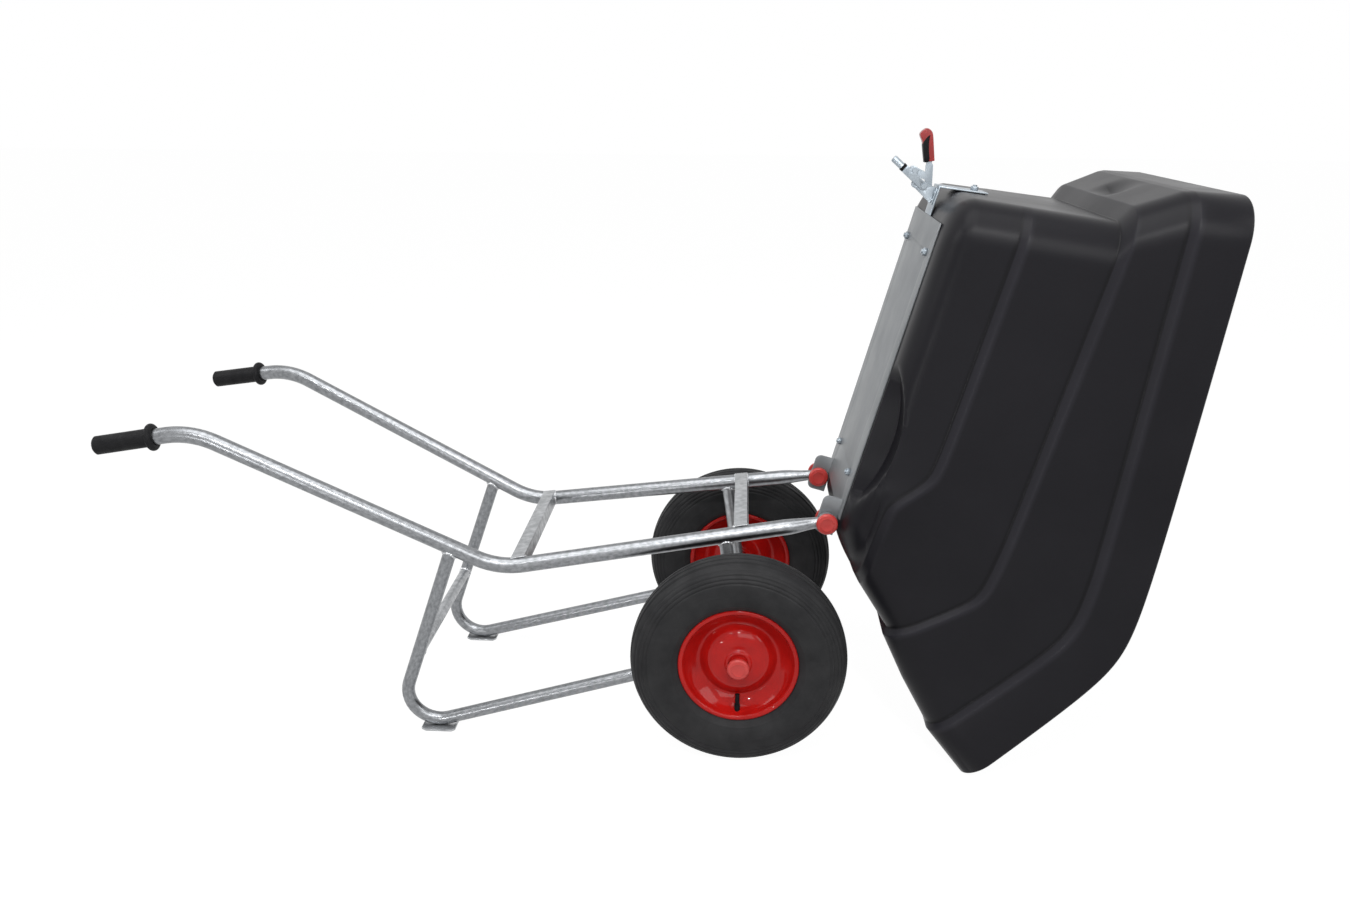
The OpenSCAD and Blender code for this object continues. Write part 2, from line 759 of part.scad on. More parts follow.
rim_section = [-rim_rear, lip_reach, rim_half, rim_half, rear_r, nose_r, rim_h, rim_rise, rim_bend_x, rim_bend_h,
               rim_fall, bend_softs[3], -rim_h, 0];
function hold_section() =
    let (a = step_section(1, 1), b = step_section(2, 0))
    [for (i = [0 : len(a) - 1]) i == len(a) - 1 ? hold_deep : mix(a[i], b[i], hold_share)];
tub_sections = concat([for (s = fillet_shares) base_section(s)],
                      [for (k = [0, 1]) for (up = [0, 1]) step_section(k, up)],
                      [hold_section()],
                      [for (up = [0, 1]) step_section(2, up)],
                      [rim_section]);
// A section set in by a wall, for the inside
function inside(s) = [s[0] + tub_wall, s[1] - tub_wall, s[2] - tub_wall, s[3] - tub_wall, s[4] - tub_wall,
                      s[5] - tub_wall, s[6] + tub_wall * lift_share, s[7], s[8], s[9] + tub_wall * lift_share, s[10],
                      s[11], s[12] + tub_wall * lift_share, s[13]];
function half_width(s, x) =
    let (run = s[1] - s[5] - taper_from)
    mix(s[2], s[3], min(max((x - taper_from) / run, 0), 1));
function half_plan(s) = concat(
    [for (i = [0 : rear_n - 1]) [s[0], (s[2] - s[4]) * i / rear_n]],
    [for (i = [0 : edge_n]) let (a = 90 * i / edge_n) [s[0] + s[4] * (1 - cos(a)), s[2] - s[4] * (1 - sin(a))]],
    [for (i = [1 : side_n - 1]) let (x = mix(s[0] + s[4], s[1] - s[5], i / side_n)) [x, half_width(s, x)]],
    [for (i = [0 : edge_n]) let (a = 90 * i / edge_n) [s[1] - s[5] * (1 - sin(a)), s[3] - s[5] * (1 - cos(a))]],
    [for (i = [1 : rear_n]) [s[1], (s[3] - s[5]) * (1 - i / rear_n)]]);
function level(s, x) =
    let (bent = soft_min(s[6] + tan(s[7]) * (x - s[0]), s[9] - tan(s[10]) * (x - s[8]), s[11]))
    s[10] == 0 ? s[6] : soft_max(bent, s[12], s[11] * floor_soft_share);
function arch_at(x, r) =
    let (dx = x - wheel_in_tub[0])
    abs(dx) < r ? wheel_in_tub[1] + sqrt(r * r - dx * dx) : wheel_in_tub[1];
function hold_at(s, p) =
    s[13] > 0 && p[0] < s[0] + cut && p[1] < hold_half ? s[13] * pow(1 - pow(p[1] / hold_half, 2), 2) : 0;
function place(s, p, wall) =
    let (z = level(s, p[0]), z_arch = arch_at(p[0], arch_r + wall))
    [p[0] + hold_at(s, p), p[1], p[1] > arch_half - wall && z < z_arch ? z_arch : z];
function tub_loop(s, wall) =
    let (half = [for (p = half_plan(s)) place(s, p, wall)], n = len(half))
    concat(half, [for (i = [n - 2 : -1 : 1]) [half[i][0], -half[i][1], half[i][2]]]);
inner_base = [for (i = [0 : len(tub_sections) - 1]) inside(tub_sections[i])];
tub_loops = concat([for (s = tub_sections) tub_loop(s, 0)],
                   [for (i = [len(inner_base) - 1 : -1 : 0]) tub_loop(inner_base[i], tub_wall)]);

// Closed skin through a stack of loops, with a fan at each end
module skin(loops) {
    n = len(loops[0]);
    rows = len(loops);
    first = rows * n;
    last = first - n;
    hubs = [for (l = [loops[0], loops[rows - 1]]) (l[0] + l[n / 2]) / 2];
    sides = [for (k = [0 : rows - 2]) for (i = [0 : n - 1]) let (j = (i + 1) % n, a = k * n, b = (k + 1) * n)
             each [[a + i, b + i, b + j], [a + i, b + j, a + j]]];
    fans = [for (i = [0 : n - 1]) let (j = (i + 1) % n) each [[first, i, j], [first + 1, last + j, last + i]]];
    polyhedron(points = concat([for (l = loops) each l], hubs), faces = concat(sides, fans));
}

module tub() {
    color(plastic) in_tub() difference() {
        skin(tub_loops);
        for (p = bolt_places)
            translate([p[0], p[1], base_h - cut])
                cylinder(h = tub_wall + 3 * cut, d = bolt_d + 2 * bolt_gap, $fn = fn_small);
        at_strap_bolt() translate([0, 0, -strap_reach])
            cylinder(h = 2 * strap_reach, d = bolt_d + 2 * bolt_gap, $fn = fn_small);
    }
}

// Frame of the bracket bolt: Z points forward into the tub, square to the rear wall
module at_strap_bolt() {
    translate([wall_at(strap_bolt_h), 0, strap_bolt_h]) rotate([0, 90 - rear_lean, 0]) children();
}

// Round lower corner of a hinge ear
function ear_corner(x, from) =
    [for (k = [0 : edge_n]) [x, ear_round - ear_drop] + polar(ear_round, from + 90 * k / edge_n)];

// Sheet under the tub, with two hinge ears and holes for the tub bolts
module base_plate() {
    long = plate_len - plate_front_back;
    color(zinc) in_tub() {
        difference() {
            translate([-plate_len, -plate_half, plate_lift]) cube([long, 2 * plate_half, plate_t]);
            for (p = bolt_places)
                translate([p[0], p[1], plate_lift - cut])
                    cylinder(h = plate_t + 2 * cut, d = bolt_d + 2 * bolt_gap, $fn = fn_small);
        }
        slab_pair(ear_in, ear_t) difference() {
            polygon(concat([[-ear_back, plate_lift + plate_t]],
                           ear_corner(ear_round - ear_back, 180), ear_corner(ear_front - ear_round, 270),
                           [[ear_front, plate_lift + plate_t]]));
            circle(d = pin_d + 2 * run_gap, $fn = fn_big);
        }
    }
}

// Round-head bolt hanging from z = 0, with a domed head above
module round_bolt(grip_length) {
    rotate_extrude($fn = fn_small)
        polygon(concat([[0, -grip_length - nut_t - bolt_tail], [bolt_d / 2, -grip_length - nut_t - bolt_tail],
                        [bolt_d / 2, 0]],
                       [for (i = [0 : edge_n]) let (a = 90 * i / edge_n)
                        [bolt_head_d / 2 * cos(a), bolt_head_t * sin(a)]]));
}

module hex_nut() {
    difference() {
        cylinder(h = nut_t, d = nut_d, $fn = 6);
        translate([0, 0, -cut]) cylinder(h = nut_t + 2 * cut, d = bolt_d + 2 * run_gap, $fn = fn_small);
    }
}

module flat_washer() {
    difference() {
        cylinder(h = bolt_washer_t, d = bolt_washer_d, $fn = fn_small);
        translate([0, 0, -cut]) cylinder(h = bolt_washer_t + 2 * cut, d = bolt_d + 2 * bolt_gap, $fn = fn_small);
    }
}

tub_floor = base_h + tub_wall * lift_share;
washer_seat = tub_floor + weld_gap;
bolt_seat = washer_seat + bolt_washer_t + weld_gap;
nut_seat = plate_lift - weld_gap - nut_t;

module tub_bolts() {
    color(zinc) in_tub() for (p = bolt_places)
        translate([p[0], p[1], bolt_seat]) round_bolt(bolt_seat - plate_lift);
}

module tub_washers() {
    color(zinc) in_tub() for (p = bolt_places)
        translate([p[0], p[1], washer_seat]) flat_washer();
}

module tub_nuts() {
    color(zinc) in_tub() for (p = bolt_places)
        translate([p[0], p[1], nut_seat]) hex_nut();
}

// Strap from the end of the base plate round the rear of the tub
module clamp_bracket() {
    corner = -strap_in - weld_gap;
    top = corner - (strap_up - plate_lift) * rear_lean_share;
    color(steel) in_tub() difference() {
        slab(-strap_w / 2, strap_w)
            polygon([[-plate_len - weld_gap, plate_lift + plate_t], [-plate_len - weld_gap, plate_lift],
                     [corner - plate_t, plate_lift], [top - plate_t, strap_up], [top, strap_up],
                     [corner, plate_lift + plate_t]]);
        at_strap_bolt() translate([0, 0, -strap_reach])
            cylinder(h = 2 * strap_reach, d = bolt_d + 2 * bolt_gap, $fn = fn_small);
    }
}

strap_outside = weld_gap + plate_t + weld_gap + strap_tuck;

module bracket_bolt() {
    color(zinc) in_tub() at_strap_bolt()
        translate([0, 0, wall_through + weld_gap]) round_bolt(wall_through + weld_gap + strap_outside - weld_gap);
}

module bracket_nut() {
    color(zinc) in_tub() at_strap_bolt() translate([0, 0, -strap_outside - nut_t]) hex_nut();
}

// Folded base of the toggle clamp, riveted under the strap
module clamp_base() {
    top = plate_lift - clamp_h - weld_gap;
    color(steel) in_clamp() {
        difference() {
            union() {
                slab_pair(cheek_in, cheek_t) {
                    link_shape([0, 0], link_base, 2 * lobe_r);
                    polygon([[-lobe_r, 0], [clamp_foot_from, top], [clamp_foot_from + clamp_foot_l, top],
                             [lobe_r, link_base[1]]]);
                }
            }
            cross_pin_pair(0, 0, rivet_d + 2 * run_gap, cheek_in - cut, cheek_in + cheek_t + cut);
            cross_pin_pair(link_base[0], link_base[1], rivet_d + 2 * run_gap, cheek_in - cut, cheek_in + cheek_t + cut);
        }
        difference() {
            translate([clamp_foot_from, -clamp_foot_w / 2, top - clamp_foot_t])
                cube([clamp_foot_l, clamp_foot_w, clamp_foot_t]);
            at_base_rivets() translate([0, 0, -cut - clamp_foot_t])
                cylinder(h = clamp_foot_t + 2 * cut, d = rivet_d + 2 * run_gap, $fn = fn_small);
        }
    }
}

// Places of the rivets through the foot of the clamp base, at its upper face
module at_base_rivets() {
    for (x = base_rivet_shares)
        for (y = [-1, 1])
            translate([clamp_foot_from + clamp_foot_l * x, y * clamp_foot_w * base_rivet_share / 2,
                       plate_lift - clamp_h - weld_gap]) children();
}

module base_rivets() {
    color(steel) in_clamp() at_base_rivets() {
        translate([0, 0, -clamp_foot_t]) cylinder(h = clamp_foot_t, d = rivet_d, $fn = fn_small);
        translate([0, 0, -clamp_foot_t - weld_gap - rivet_head_t])
            cylinder(h = rivet_head_t, d = rivet_head_d, $fn = fn_small);
        translate([0, 0, -clamp_foot_t - weld_gap - cut]) cylinder(h = weld_gap + 2 * cut, d = rivet_d, $fn = fn_small);
    }
}

// Rivets that the arm and the link turn on, one on each cheek
module pivot_rivets() {
    head = arm_out + side_gap;
    color(steel) in_clamp() {
        cross_pin_pair(0, 0, rivet_d, cheek_in, head + rivet_head_t);
        cross_pin_pair(0, 0, rivet_head_d, head, head + rivet_head_t);
        cross_pin_pair(link_base[0], link_base[1], rivet_d, link_in, cheek_in + cheek_t);
    }
}

module clamp_arm() {
    neck = arm_bar_from - arm_neck;
    arm_end = polar(arm_bar_from + arm_neck - lobe_r, arm_open);
    color(steel) in_clamp() {
        difference() {
            slab_pair(arm_in, arm_t) {
                polygon(rounded([[0, 0], arm_end], lobe_r));
                polygon(rounded([mix([0, 0], arm_end, arm_lobe_share), arm_pin], lobe_r));
            }
            cross_pin_pair(0, 0, rivet_d + 2 * run_gap, arm_in - cut, arm_out + cut);
            cross_pin_pair(arm_pin[0], arm_pin[1], rivet_d + 2 * run_gap, arm_in - cut, arm_out + cut);
        }
        slab(-arm_out, 2 * arm_out) rotate(arm_open) translate([neck, -lobe_r]) square([2 * arm_neck, 2 * lobe_r]);
        rotate([0, 90 - arm_open, 0]) translate([0, 0, arm_bar_from]) {
            cylinder(h = arm_len - arm_bar_from - arm_tip, d = arm_bar_d, $fn = fn_small);
            translate([0, 0, arm_len - arm_bar_from - arm_tip])
                cylinder(h = arm_tip, d1 = arm_bar_d, d2 = arm_bar_d - arm_tip, $fn = fn_small);
        }
    }
}

module arm_ring() {
    run = arm_bar_from + (arm_len - arm_bar_from) * arm_ring_share;
    color(black) in_clamp() rotate([0, 90 - arm_open, 0]) translate([0, 0, run]) difference() {
        cylinder(h = arm_ring_l, d = arm_ring_d, center = true, $fn = fn_small);
        cylinder(h = arm_ring_l + cut, d = arm_bar_d + 2 * run_gap, center = true, $fn = fn_small);
    }
}

module arm_rivet() {
    head = arm_out + weld_gap;
    color(steel) in_clamp() {
        cross_pin(arm_pin[0], arm_pin[1], rivet_d, -head - rivet_head_t, head + rivet_head_t);
        cross_pin_pair(arm_pin[0], arm_pin[1], rivet_head_d, head, head + rivet_head_t);
    }
}

module clamp_link() {
    color(steel) in_clamp() slab_pair(link_in, link_t) difference() {
        link_shape(link_base, link_pin, 2 * link_r);
        translate(link_base) circle(d = rivet_d + 2 * run_gap, $fn = fn_small);
        translate(link_pin) circle(d = rivet_d + 2 * open_gap, $fn = fn_small);
    }
}

// Lever plate between the link, the arm and the grip, with a tang inside the grip
module lever_shape() {
    polygon(rounded([link_pin, lever_grip_from], lever_w / 2));
    polygon(rounded([mix(link_pin, lever_grip_from, lever_knee_share), arm_pin], lever_w / 2));
    translate(lever_grip_from) rotate(lever_open) translate([0, -lever_tang / 2])
        square([clamp_grip_from + clamp_grip_len * tang_share, lever_tang]);
}

module clamp_lever() {
    color(steel) in_clamp() slab(-lever_t / 2, lever_t) difference() {
        lever_shape();
        translate(arm_pin) circle(d = rivet_d + 2 * run_gap, $fn = fn_small);
        translate(link_pin) circle(d = rivet_d + 2 * run_gap, $fn = fn_small);
    }
}

module lever_rivet() {
    color(steel) in_clamp() cross_pin(link_pin[0], link_pin[1], rivet_d, -link_in - link_t, link_in + link_t);
}

// Moulded lever grip, waisted at the neck and with a sloped end
module clamp_grip() {
    half = clamp_grip_w / 2;
    color(red) in_clamp() difference() {
        slab(-clamp_grip_t / 2, clamp_grip_t) translate(lever_grip_from) rotate(lever_open)
            polygon([[clamp_grip_from, -half * grip_neck_share], [clamp_grip_from + clamp_grip_len * swell_shares[0], -half],
                     [clamp_grip_from + clamp_grip_len, -half * grip_end_shares[0]],
                     [clamp_grip_from + clamp_grip_len * grip_end_shares[1], half * grip_neck_share],
                     [clamp_grip_from + clamp_grip_len * swell_shares[1], half], [clamp_grip_from, half * grip_neck_share]]);
        slab(-lever_t / 2 - run_gap, lever_t + 2 * run_gap) translate(lever_grip_from) rotate(lever_open)
            translate([clamp_grip_from - cut, -lever_tang / 2 - run_gap])
                square([cut + clamp_grip_len * tang_share + run_gap, lever_tang + 2 * run_gap]);
    }
}

rail(-1);  // right_rail
rail(1);  // left_rail
hinge_bush(-1);  // right_hinge_bush
hinge_bush(1);  // left_hinge_bush
leg(-1);  // right_leg
leg(1);  // left_leg
foot(-1);  // right_foot
foot(1);  // left_foot
leg_cross_tube();
cross_bar(rear_bar_back);  // rear_cross_bar
cross_bar(front_bar_back);  // front_cross_bar
strut(-1);  // right_strut
strut(1);  // left_strut
grip(-1);  // right_grip
grip(1);  // left_grip
axle();
axle_spacers();
axle_washers();
axle_caps();
hinge_pin(-1);  // right_hinge_pin
hinge_pin(1);  // left_hinge_pin
hinge_caps();
tyre(-1);  // right_tyre
tyre(1);  // left_tyre
inner_tube(-1);  // right_inner_tube
inner_tube(1);  // left_inner_tube
rim(-1);  // right_rim
rim(1);  // left_rim
hub(-1);  // right_hub
hub(1);  // left_hub
bearings(-1);  // right_bearings
bearings(1);  // left_bearings
valve(-1);  // right_valve
valve(1);  // left_valve
tub();
base_plate();
tub_bolts();
tub_washers();
tub_nuts();
clamp_bracket();
bracket_bolt();
bracket_nut();
clamp_base();
base_rivets();
pivot_rivets();
clamp_arm();
arm_ring();
arm_rivet();
clamp_link();
clamp_lever();
lever_rivet();
clamp_grip();
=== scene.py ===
import json
import math
from collections import namedtuple
from types import SimpleNamespace
import bpy
import numpy as np
from mathutils import Matrix, Vector


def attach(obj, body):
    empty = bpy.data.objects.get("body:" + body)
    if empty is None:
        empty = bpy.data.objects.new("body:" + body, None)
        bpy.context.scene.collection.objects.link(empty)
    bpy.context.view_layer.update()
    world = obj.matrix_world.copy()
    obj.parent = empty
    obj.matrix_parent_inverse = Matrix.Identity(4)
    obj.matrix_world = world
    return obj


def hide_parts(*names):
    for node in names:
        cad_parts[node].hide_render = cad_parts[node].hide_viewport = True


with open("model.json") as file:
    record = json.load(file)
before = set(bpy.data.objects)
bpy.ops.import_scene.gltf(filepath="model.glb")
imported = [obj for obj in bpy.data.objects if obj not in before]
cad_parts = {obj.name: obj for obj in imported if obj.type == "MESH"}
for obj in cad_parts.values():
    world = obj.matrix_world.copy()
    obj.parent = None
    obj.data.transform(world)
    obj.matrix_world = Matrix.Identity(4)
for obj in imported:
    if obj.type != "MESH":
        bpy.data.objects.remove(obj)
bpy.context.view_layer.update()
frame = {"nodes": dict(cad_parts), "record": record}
nodes = frame["nodes"]
rng = np.random.default_rng(7)

# Sizes of the cart in metres, in the row frame
AXLE = np.array([0.192, 0.0, 0.200])
WHEEL_Y = 0.248
HINGE = np.array([0.351, 0.139, 0.431])
LOWER = np.array([-0.262, 0.190, 0.339])
UPPER = np.array([-0.802, 0.238, 0.608])
GRIP_END = np.array([-0.975, 0.250, 0.581])
GRIP_SKIN = 0.0033
RAIL_R, RAIL_BEND, RAIL_TAPER = 0.015, 0.150, 0.082
NECK_ACROSS, NECK_UP, NECK_SHORT, NECK_LEAD = 0.0106, 0.0104, 0.012, 1.25
BUSH_R, BUSH_BORE_R, BUSH_HALF, BUSH_EDGE = 0.015, 0.01005, 0.012, 0.0008
LEG_R, LEG_BEND, LEG_WALL, LEG_LEAN = 0.0125, 0.060, 0.0025, math.radians(19)
LEG_HALF, LEG_PAST_AXLE, LEG_BELOW_AXLE = 0.174, 0.024, 0.0229
FOOT_REACH, FOOT_HALF, FOOT_TOP = 0.581, 0.195, 0.0042
BAR, BAR_LIFT, REAR_BAR, FRONT_BAR = 0.025, 0.005, 0.581, 0.160
LEG_BAR_R, LEG_BAR_SHARE, AXLE_R = 0.011, 0.44, 0.010
TILT = math.radians(105)
SLOPE = math.atan2(HINGE[2] - LOWER[2], HINGE[0] - LOWER[0])
SIDES = ((-1, "right"), (1, "left"))
MM = 0.001


def unit(v):
    v = np.asarray(v, float)
    return v / np.linalg.norm(v)


def mix(a, b, t):
    return a + (b - a) * t


def to_row(p):
    """Tub frame (metres, origin on the hinge line) to the row frame."""
    p = np.asarray(p, float)
    x, y, z = p[..., 0], p[..., 1], p[..., 2]
    c, s = math.cos(TILT), math.sin(TILT)
    return np.stack([HINGE[0] + x * c + z * s, y, HINGE[2] - x * s + z * c], -1)


# Node material helpers

def new_mat(name):
    m = bpy.data.materials.new(name)
    m.use_nodes = True
    nt = m.node_tree
    nt.nodes.clear()
    out = nt.nodes.new("ShaderNodeOutputMaterial")
    bsdf = nt.nodes.new("ShaderNodeBsdfPrincipled")
    nt.links.new(bsdf.outputs[0], out.inputs[0])
    return m, nt, bsdf


def coords(nt, kind, scale):
    tc = nt.nodes.new("ShaderNodeTexCoord")
    mp = nt.nodes.new("ShaderNodeMapping")
    mp.inputs["Scale"].default_value = scale
    nt.links.new(tc.outputs[kind], mp.inputs[0])
    return mp.outputs[0]


def noise(nt, vec, scale, detail=4.0, rough=0.55):
    n = nt.nodes.new("ShaderNodeTexNoise")
    n.inputs["Scale"].default_value = scale
    n.inputs["Detail"].default_value = detail
    n.inputs["Roughness"].default_value = rough
    nt.links.new(vec, n.inputs["Vector"])
    return n.outputs[0]


def ramp(nt, fac, stops):
    r = nt.nodes.new("ShaderNodeValToRGB")
    e = r.color_ramp.elements
    while len(e) < len(stops):
        e.new(0.5)
    for i, (p, c) in enumerate(stops):
        e[i].position = p
        e[i].color = (c, c, c, 1) if np.isscalar(c) else (*c, 1)
    nt.links.new(fac, r.inputs[0])
    return r.outputs[0]


def bump(nt, bsdf, height, strength, distance):
    b = nt.nodes.new("ShaderNodeBump")
    b.inputs["Strength"].default_value = strength
    b.inputs["Distance"].default_value = distance
    nt.links.new(height, b.inputs["Height"])
    nt.links.new(b.outputs[0], bsdf.inputs["Normal"])


COAT_ROUGH, BUMP_DETAIL = 0.08, 3.0


def finish_mat(name, dark, light, rough, size, bump_by, bump_size, metal=0.0, kind="Object", scale=(1, 1, 1),
               edge=(0.3, 0.7), coat=0.0, spec=0.5):
    """A finish whose colour, roughness and relief all come from noise."""
    m, nt, bsdf = new_mat(name)
    vec = coords(nt, kind, scale)
    n = noise(nt, vec, size)
    nt.links.new(ramp(nt, n, [(edge[0], dark), (edge[1], light)]), bsdf.inputs["Base Color"])
    nt.links.new(ramp(nt, n, [(edge[0], rough[1]), (edge[1], rough[0])]), bsdf.inputs["Roughness"])
    bsdf.inputs["Metallic"].default_value = metal
    bsdf.inputs["Coat Weight"].default_value = coat
    bsdf.inputs["Coat Roughness"].default_value = COAT_ROUGH
    bsdf.inputs["Specular IOR Level"].default_value = spec
    bump(nt, bsdf, noise(nt, vec, bump_size, BUMP_DETAIL), *bump_by)
    return m


FINISHES = {
    "galv_tube": dict(dark=(0.165, 0.171, 0.180), light=(0.285, 0.294, 0.306), rough=(0.29, 0.32), metal=1.0,
                      kind="UV", scale=(12, 100, 1), size=1.0, edge=(0.30, 0.66),
                      bump_by=(0.004, 0.0010), bump_size=1.2),
    "galvanised": dict(dark=(0.28, 0.29, 0.30), light=(0.46, 0.47, 0.485), rough=(0.32, 0.46), metal=0.80,
                       size=70.0, edge=(0.30, 0.68), bump_by=(0.05, 0.0005), bump_size=210.0),
    "plate": dict(dark=(0.182, 0.192, 0.201), light=(0.220, 0.230, 0.239), rough=(0.42, 0.52), metal=0.45,
                  size=9.0, bump_by=(0.04, 0.0003), bump_size=120.0),
    "zinc": dict(dark=(0.26, 0.30, 0.34), light=(0.44, 0.49, 0.53), rough=(0.32, 0.40), metal=0.80, size=24.0,
                 bump_by=(0.01, 0.0001), bump_size=72.0),
    "axle_steel": dict(dark=(0.42, 0.42, 0.43), light=(0.66, 0.66, 0.67), rough=(0.28, 0.42), metal=1.0,
                       scale=(40, 1, 40), size=6.0, bump_by=(0.08, 0.0003), bump_size=18.0),
    "weld": dict(dark=(0.40, 0.41, 0.43), light=(0.78, 0.79, 0.80), rough=(0.26, 0.48), metal=0.95,
                 size=240.0, bump_by=(0.5, 0.0012), bump_size=720.0),
    "rim_red": dict(dark=(0.32, 0.005, 0.004), light=(0.42, 0.008, 0.006), rough=(0.05, 0.09), size=22.0,
                    bump_by=(0.03, 0.0004), bump_size=60.0, coat=0.10, spec=0.16),
    "cap_red": dict(dark=(0.42, 0.034, 0.030), light=(0.50, 0.050, 0.044), rough=(0.26, 0.38), size=60.0,
                    bump_by=(0.05, 0.0003), bump_size=180.0, spec=0.35),
    "clamp_red": dict(dark=(0.22, 0.014, 0.014), light=(0.31, 0.022, 0.021), rough=(0.24, 0.34), size=90.0,
                      bump_by=(0.05, 0.0003), bump_size=270.0),
    "black_part": dict(dark=(0.006, 0.006, 0.007), light=(0.012, 0.012, 0.013), rough=(0.38, 0.52), size=80.0,
                       bump_by=(0.08, 0.0004), bump_size=240.0, spec=0.06),
    "tyre": dict(dark=(0.017, 0.017, 0.018), light=(0.026, 0.026, 0.027), rough=(0.48, 0.64), size=26.0,
                 bump_by=(0.14, 0.0006), bump_size=420.0, spec=0.11),
    "grip_rubber": dict(dark=(0.009, 0.009, 0.010), light=(0.016, 0.016, 0.017), rough=(0.44, 0.58),
                        size=60.0, bump_by=(0.12, 0.0005), bump_size=500.0, spec=0.08),
    "tub_plastic": dict(dark=(0.0072, 0.0069, 0.0088), light=(0.0106, 0.0102, 0.0126), rough=(0.30, 0.40),
                        size=5.0, edge=(0.25, 0.75), bump_by=(0.16, 0.0006), bump_size=650.0, spec=0.12),
}
M = {name: finish_mat(name, **look) for name, look in FINISHES.items()}
# Painted light on the tub: colour multipliers for painted shade (0), none (0.5) and painted highlight (1),
# then scaled
PAINTED_LIGHT_TONES = [(0.0, 0.20), (0.5, 0.36), (1.0, 0.68)]
PAINTED_LIGHT_GAIN = 2.78


def painted_light_mat(base, name):
    """The tub's plastic, with painted shade in the creases and hand hold and painted highlight on the step
    edges, from a point attribute.
    """
    m = base.copy()
    m.name = name
    nt = m.node_tree
    bsdf = next(v for v in nt.nodes if v.type == "BSDF_PRINCIPLED")
    mark = nt.nodes.new("ShaderNodeAttribute")
    mark.attribute_name = "painted_light"
    times = nt.nodes.new("ShaderNodeVectorMath")
    times.operation = "MULTIPLY"
    nt.links.new(bsdf.inputs["Base Color"].links[0].from_socket, times.inputs[0])
    nt.links.new(ramp(nt, mark.outputs["Fac"], PAINTED_LIGHT_TONES), times.inputs[1])
    grow = nt.nodes.new("ShaderNodeVectorMath")
    grow.operation = "SCALE"
    grow.inputs["Scale"].default_value = PAINTED_LIGHT_GAIN
    nt.links.new(times.outputs[0], grow.inputs[0])
    nt.links.new(grow.outputs[0], bsdf.inputs["Base Color"])
    return m


M["tub_skin_painted_light"] = painted_light_mat(M["tub_plastic"], "tub_skin_painted_light")

# Finishes, smooth faces and soft edges on the CAD pieces
BLACK_SLOTS = ("tube_rubber", "bearing_plastic", "ring_black")
EDGE = {"base_plate": 0.0007, "rear_cross_bar": 0.0022, "front_cross_bar": 0.0022, "right_foot": 0.0008,
        "left_foot": 0.0008, "clamp_bracket": 0.0008, "clamp_base": 0.0005, "clamp_arm": 0.0007,
        "clamp_link": 0.0004, "clamp_lever": 0.0007, "tub_nuts": 0.0005, "bracket_nut": 0.0005,
        "tub_washers": 0.0003, "axle_caps": 0.0006, "hinge_caps": 0.0006}
MERGE = 1e-6
# A bevel's segments and least angle, and the angles past which an edge stays sharp, in degrees
BEVEL, GRIP_BEVEL = (2, 40), (4, 50)
CAD_SHARP, BUSH_SHARP, LEG_SHARP, TYRE_SHARP, TUB_SHARP, GRIP_SHARP = 32, 35, 50, 60, 50, 38


def split(o, angle):
    o.modifiers.new("split", "EDGE_SPLIT").split_angle = math.radians(angle)
    return o


def soften(o, width, segments, angle):
    b = o.modifiers.new("edge", "BEVEL")
    b.width, b.segments, b.limit_method, b.angle_limit = width, segments, "ANGLE", math.radians(angle)


def dress(o, slot, edge):
    o.data.materials.clear()
    o.data.materials.append(M["black_part" if slot in BLACK_SLOTS else slot])
    o.data.polygons.foreach_set("use_smooth", [True] * len(o.data.polygons))
    o.modifiers.new("weld", "WELD").merge_threshold = MERGE
    if edge:
        soften(o, edge, *BEVEL)
    split(o, CAD_SHARP)


for part in frame["record"]["subparts"]:
    dress(nodes[part["node"]], part["material_slot"], EDGE.get(part["node"]))


# Mesh helpers

def add(name, verts, faces, mat, body, uv=None, replaces=()):
    me = bpy.data.meshes.new(name)
    me.from_pydata([tuple(map(float, v)) for v in verts], [], faces)
    me.polygons.foreach_set("use_smooth", [True] * len(me.polygons))
    if uv is not None:
        layer = me.uv_layers.new(name="uv")
        idx = np.zeros(len(me.loops), int)
        me.loops.foreach_get("vertex_index", idx)
        layer.data.foreach_set("uv", np.asarray(uv, float)[idx].ravel())
    me.validate()
    me.materials.append(M[mat])
    o = bpy.data.objects.new(name, me)
    bpy.context.scene.collection.objects.link(o)
    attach(o, body)
    if replaces:
        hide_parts(*replaces)
    return o


def grid_faces(rows, n, closed_rows=False):
    last = rows if closed_rows else rows - 1
    return [(r * n + i, r * n + (i + 1) % n, ((r + 1) % rows) * n + (i + 1) % n, ((r + 1) % rows) * n + i)
            for r in range(last) for i in range(n)]


def bent_path(corners, radius, bend_n=14, longest=0.06):
    """Points along straight runs and round bends."""
    pts = [corners[0]]
    for before, v, after in zip(corners, corners[1:], corners[2:]):
        u, w = unit(v - before), unit(after - v)
        turn = math.acos(np.clip(u @ w, -1, 1))
        c = v + unit(w - u) * radius / math.cos(turn / 2)
        out = (v - u * radius * math.tan(turn / 2) - c) / radius
        pts += [c + radius * (out * math.cos(turn * j / bend_n) + u * math.sin(turn * j / bend_n))
                for j in range(bend_n + 1)]
    pts.append(corners[-1])
    fine = [pts[0]]
    for a, b in zip(pts, pts[1:]):
        n = max(1, int(np.linalg.norm(b - a) / longest))
        fine += [a + (b - a) * j / n for j in range(1, n + 1)]
    return np.array(fine)


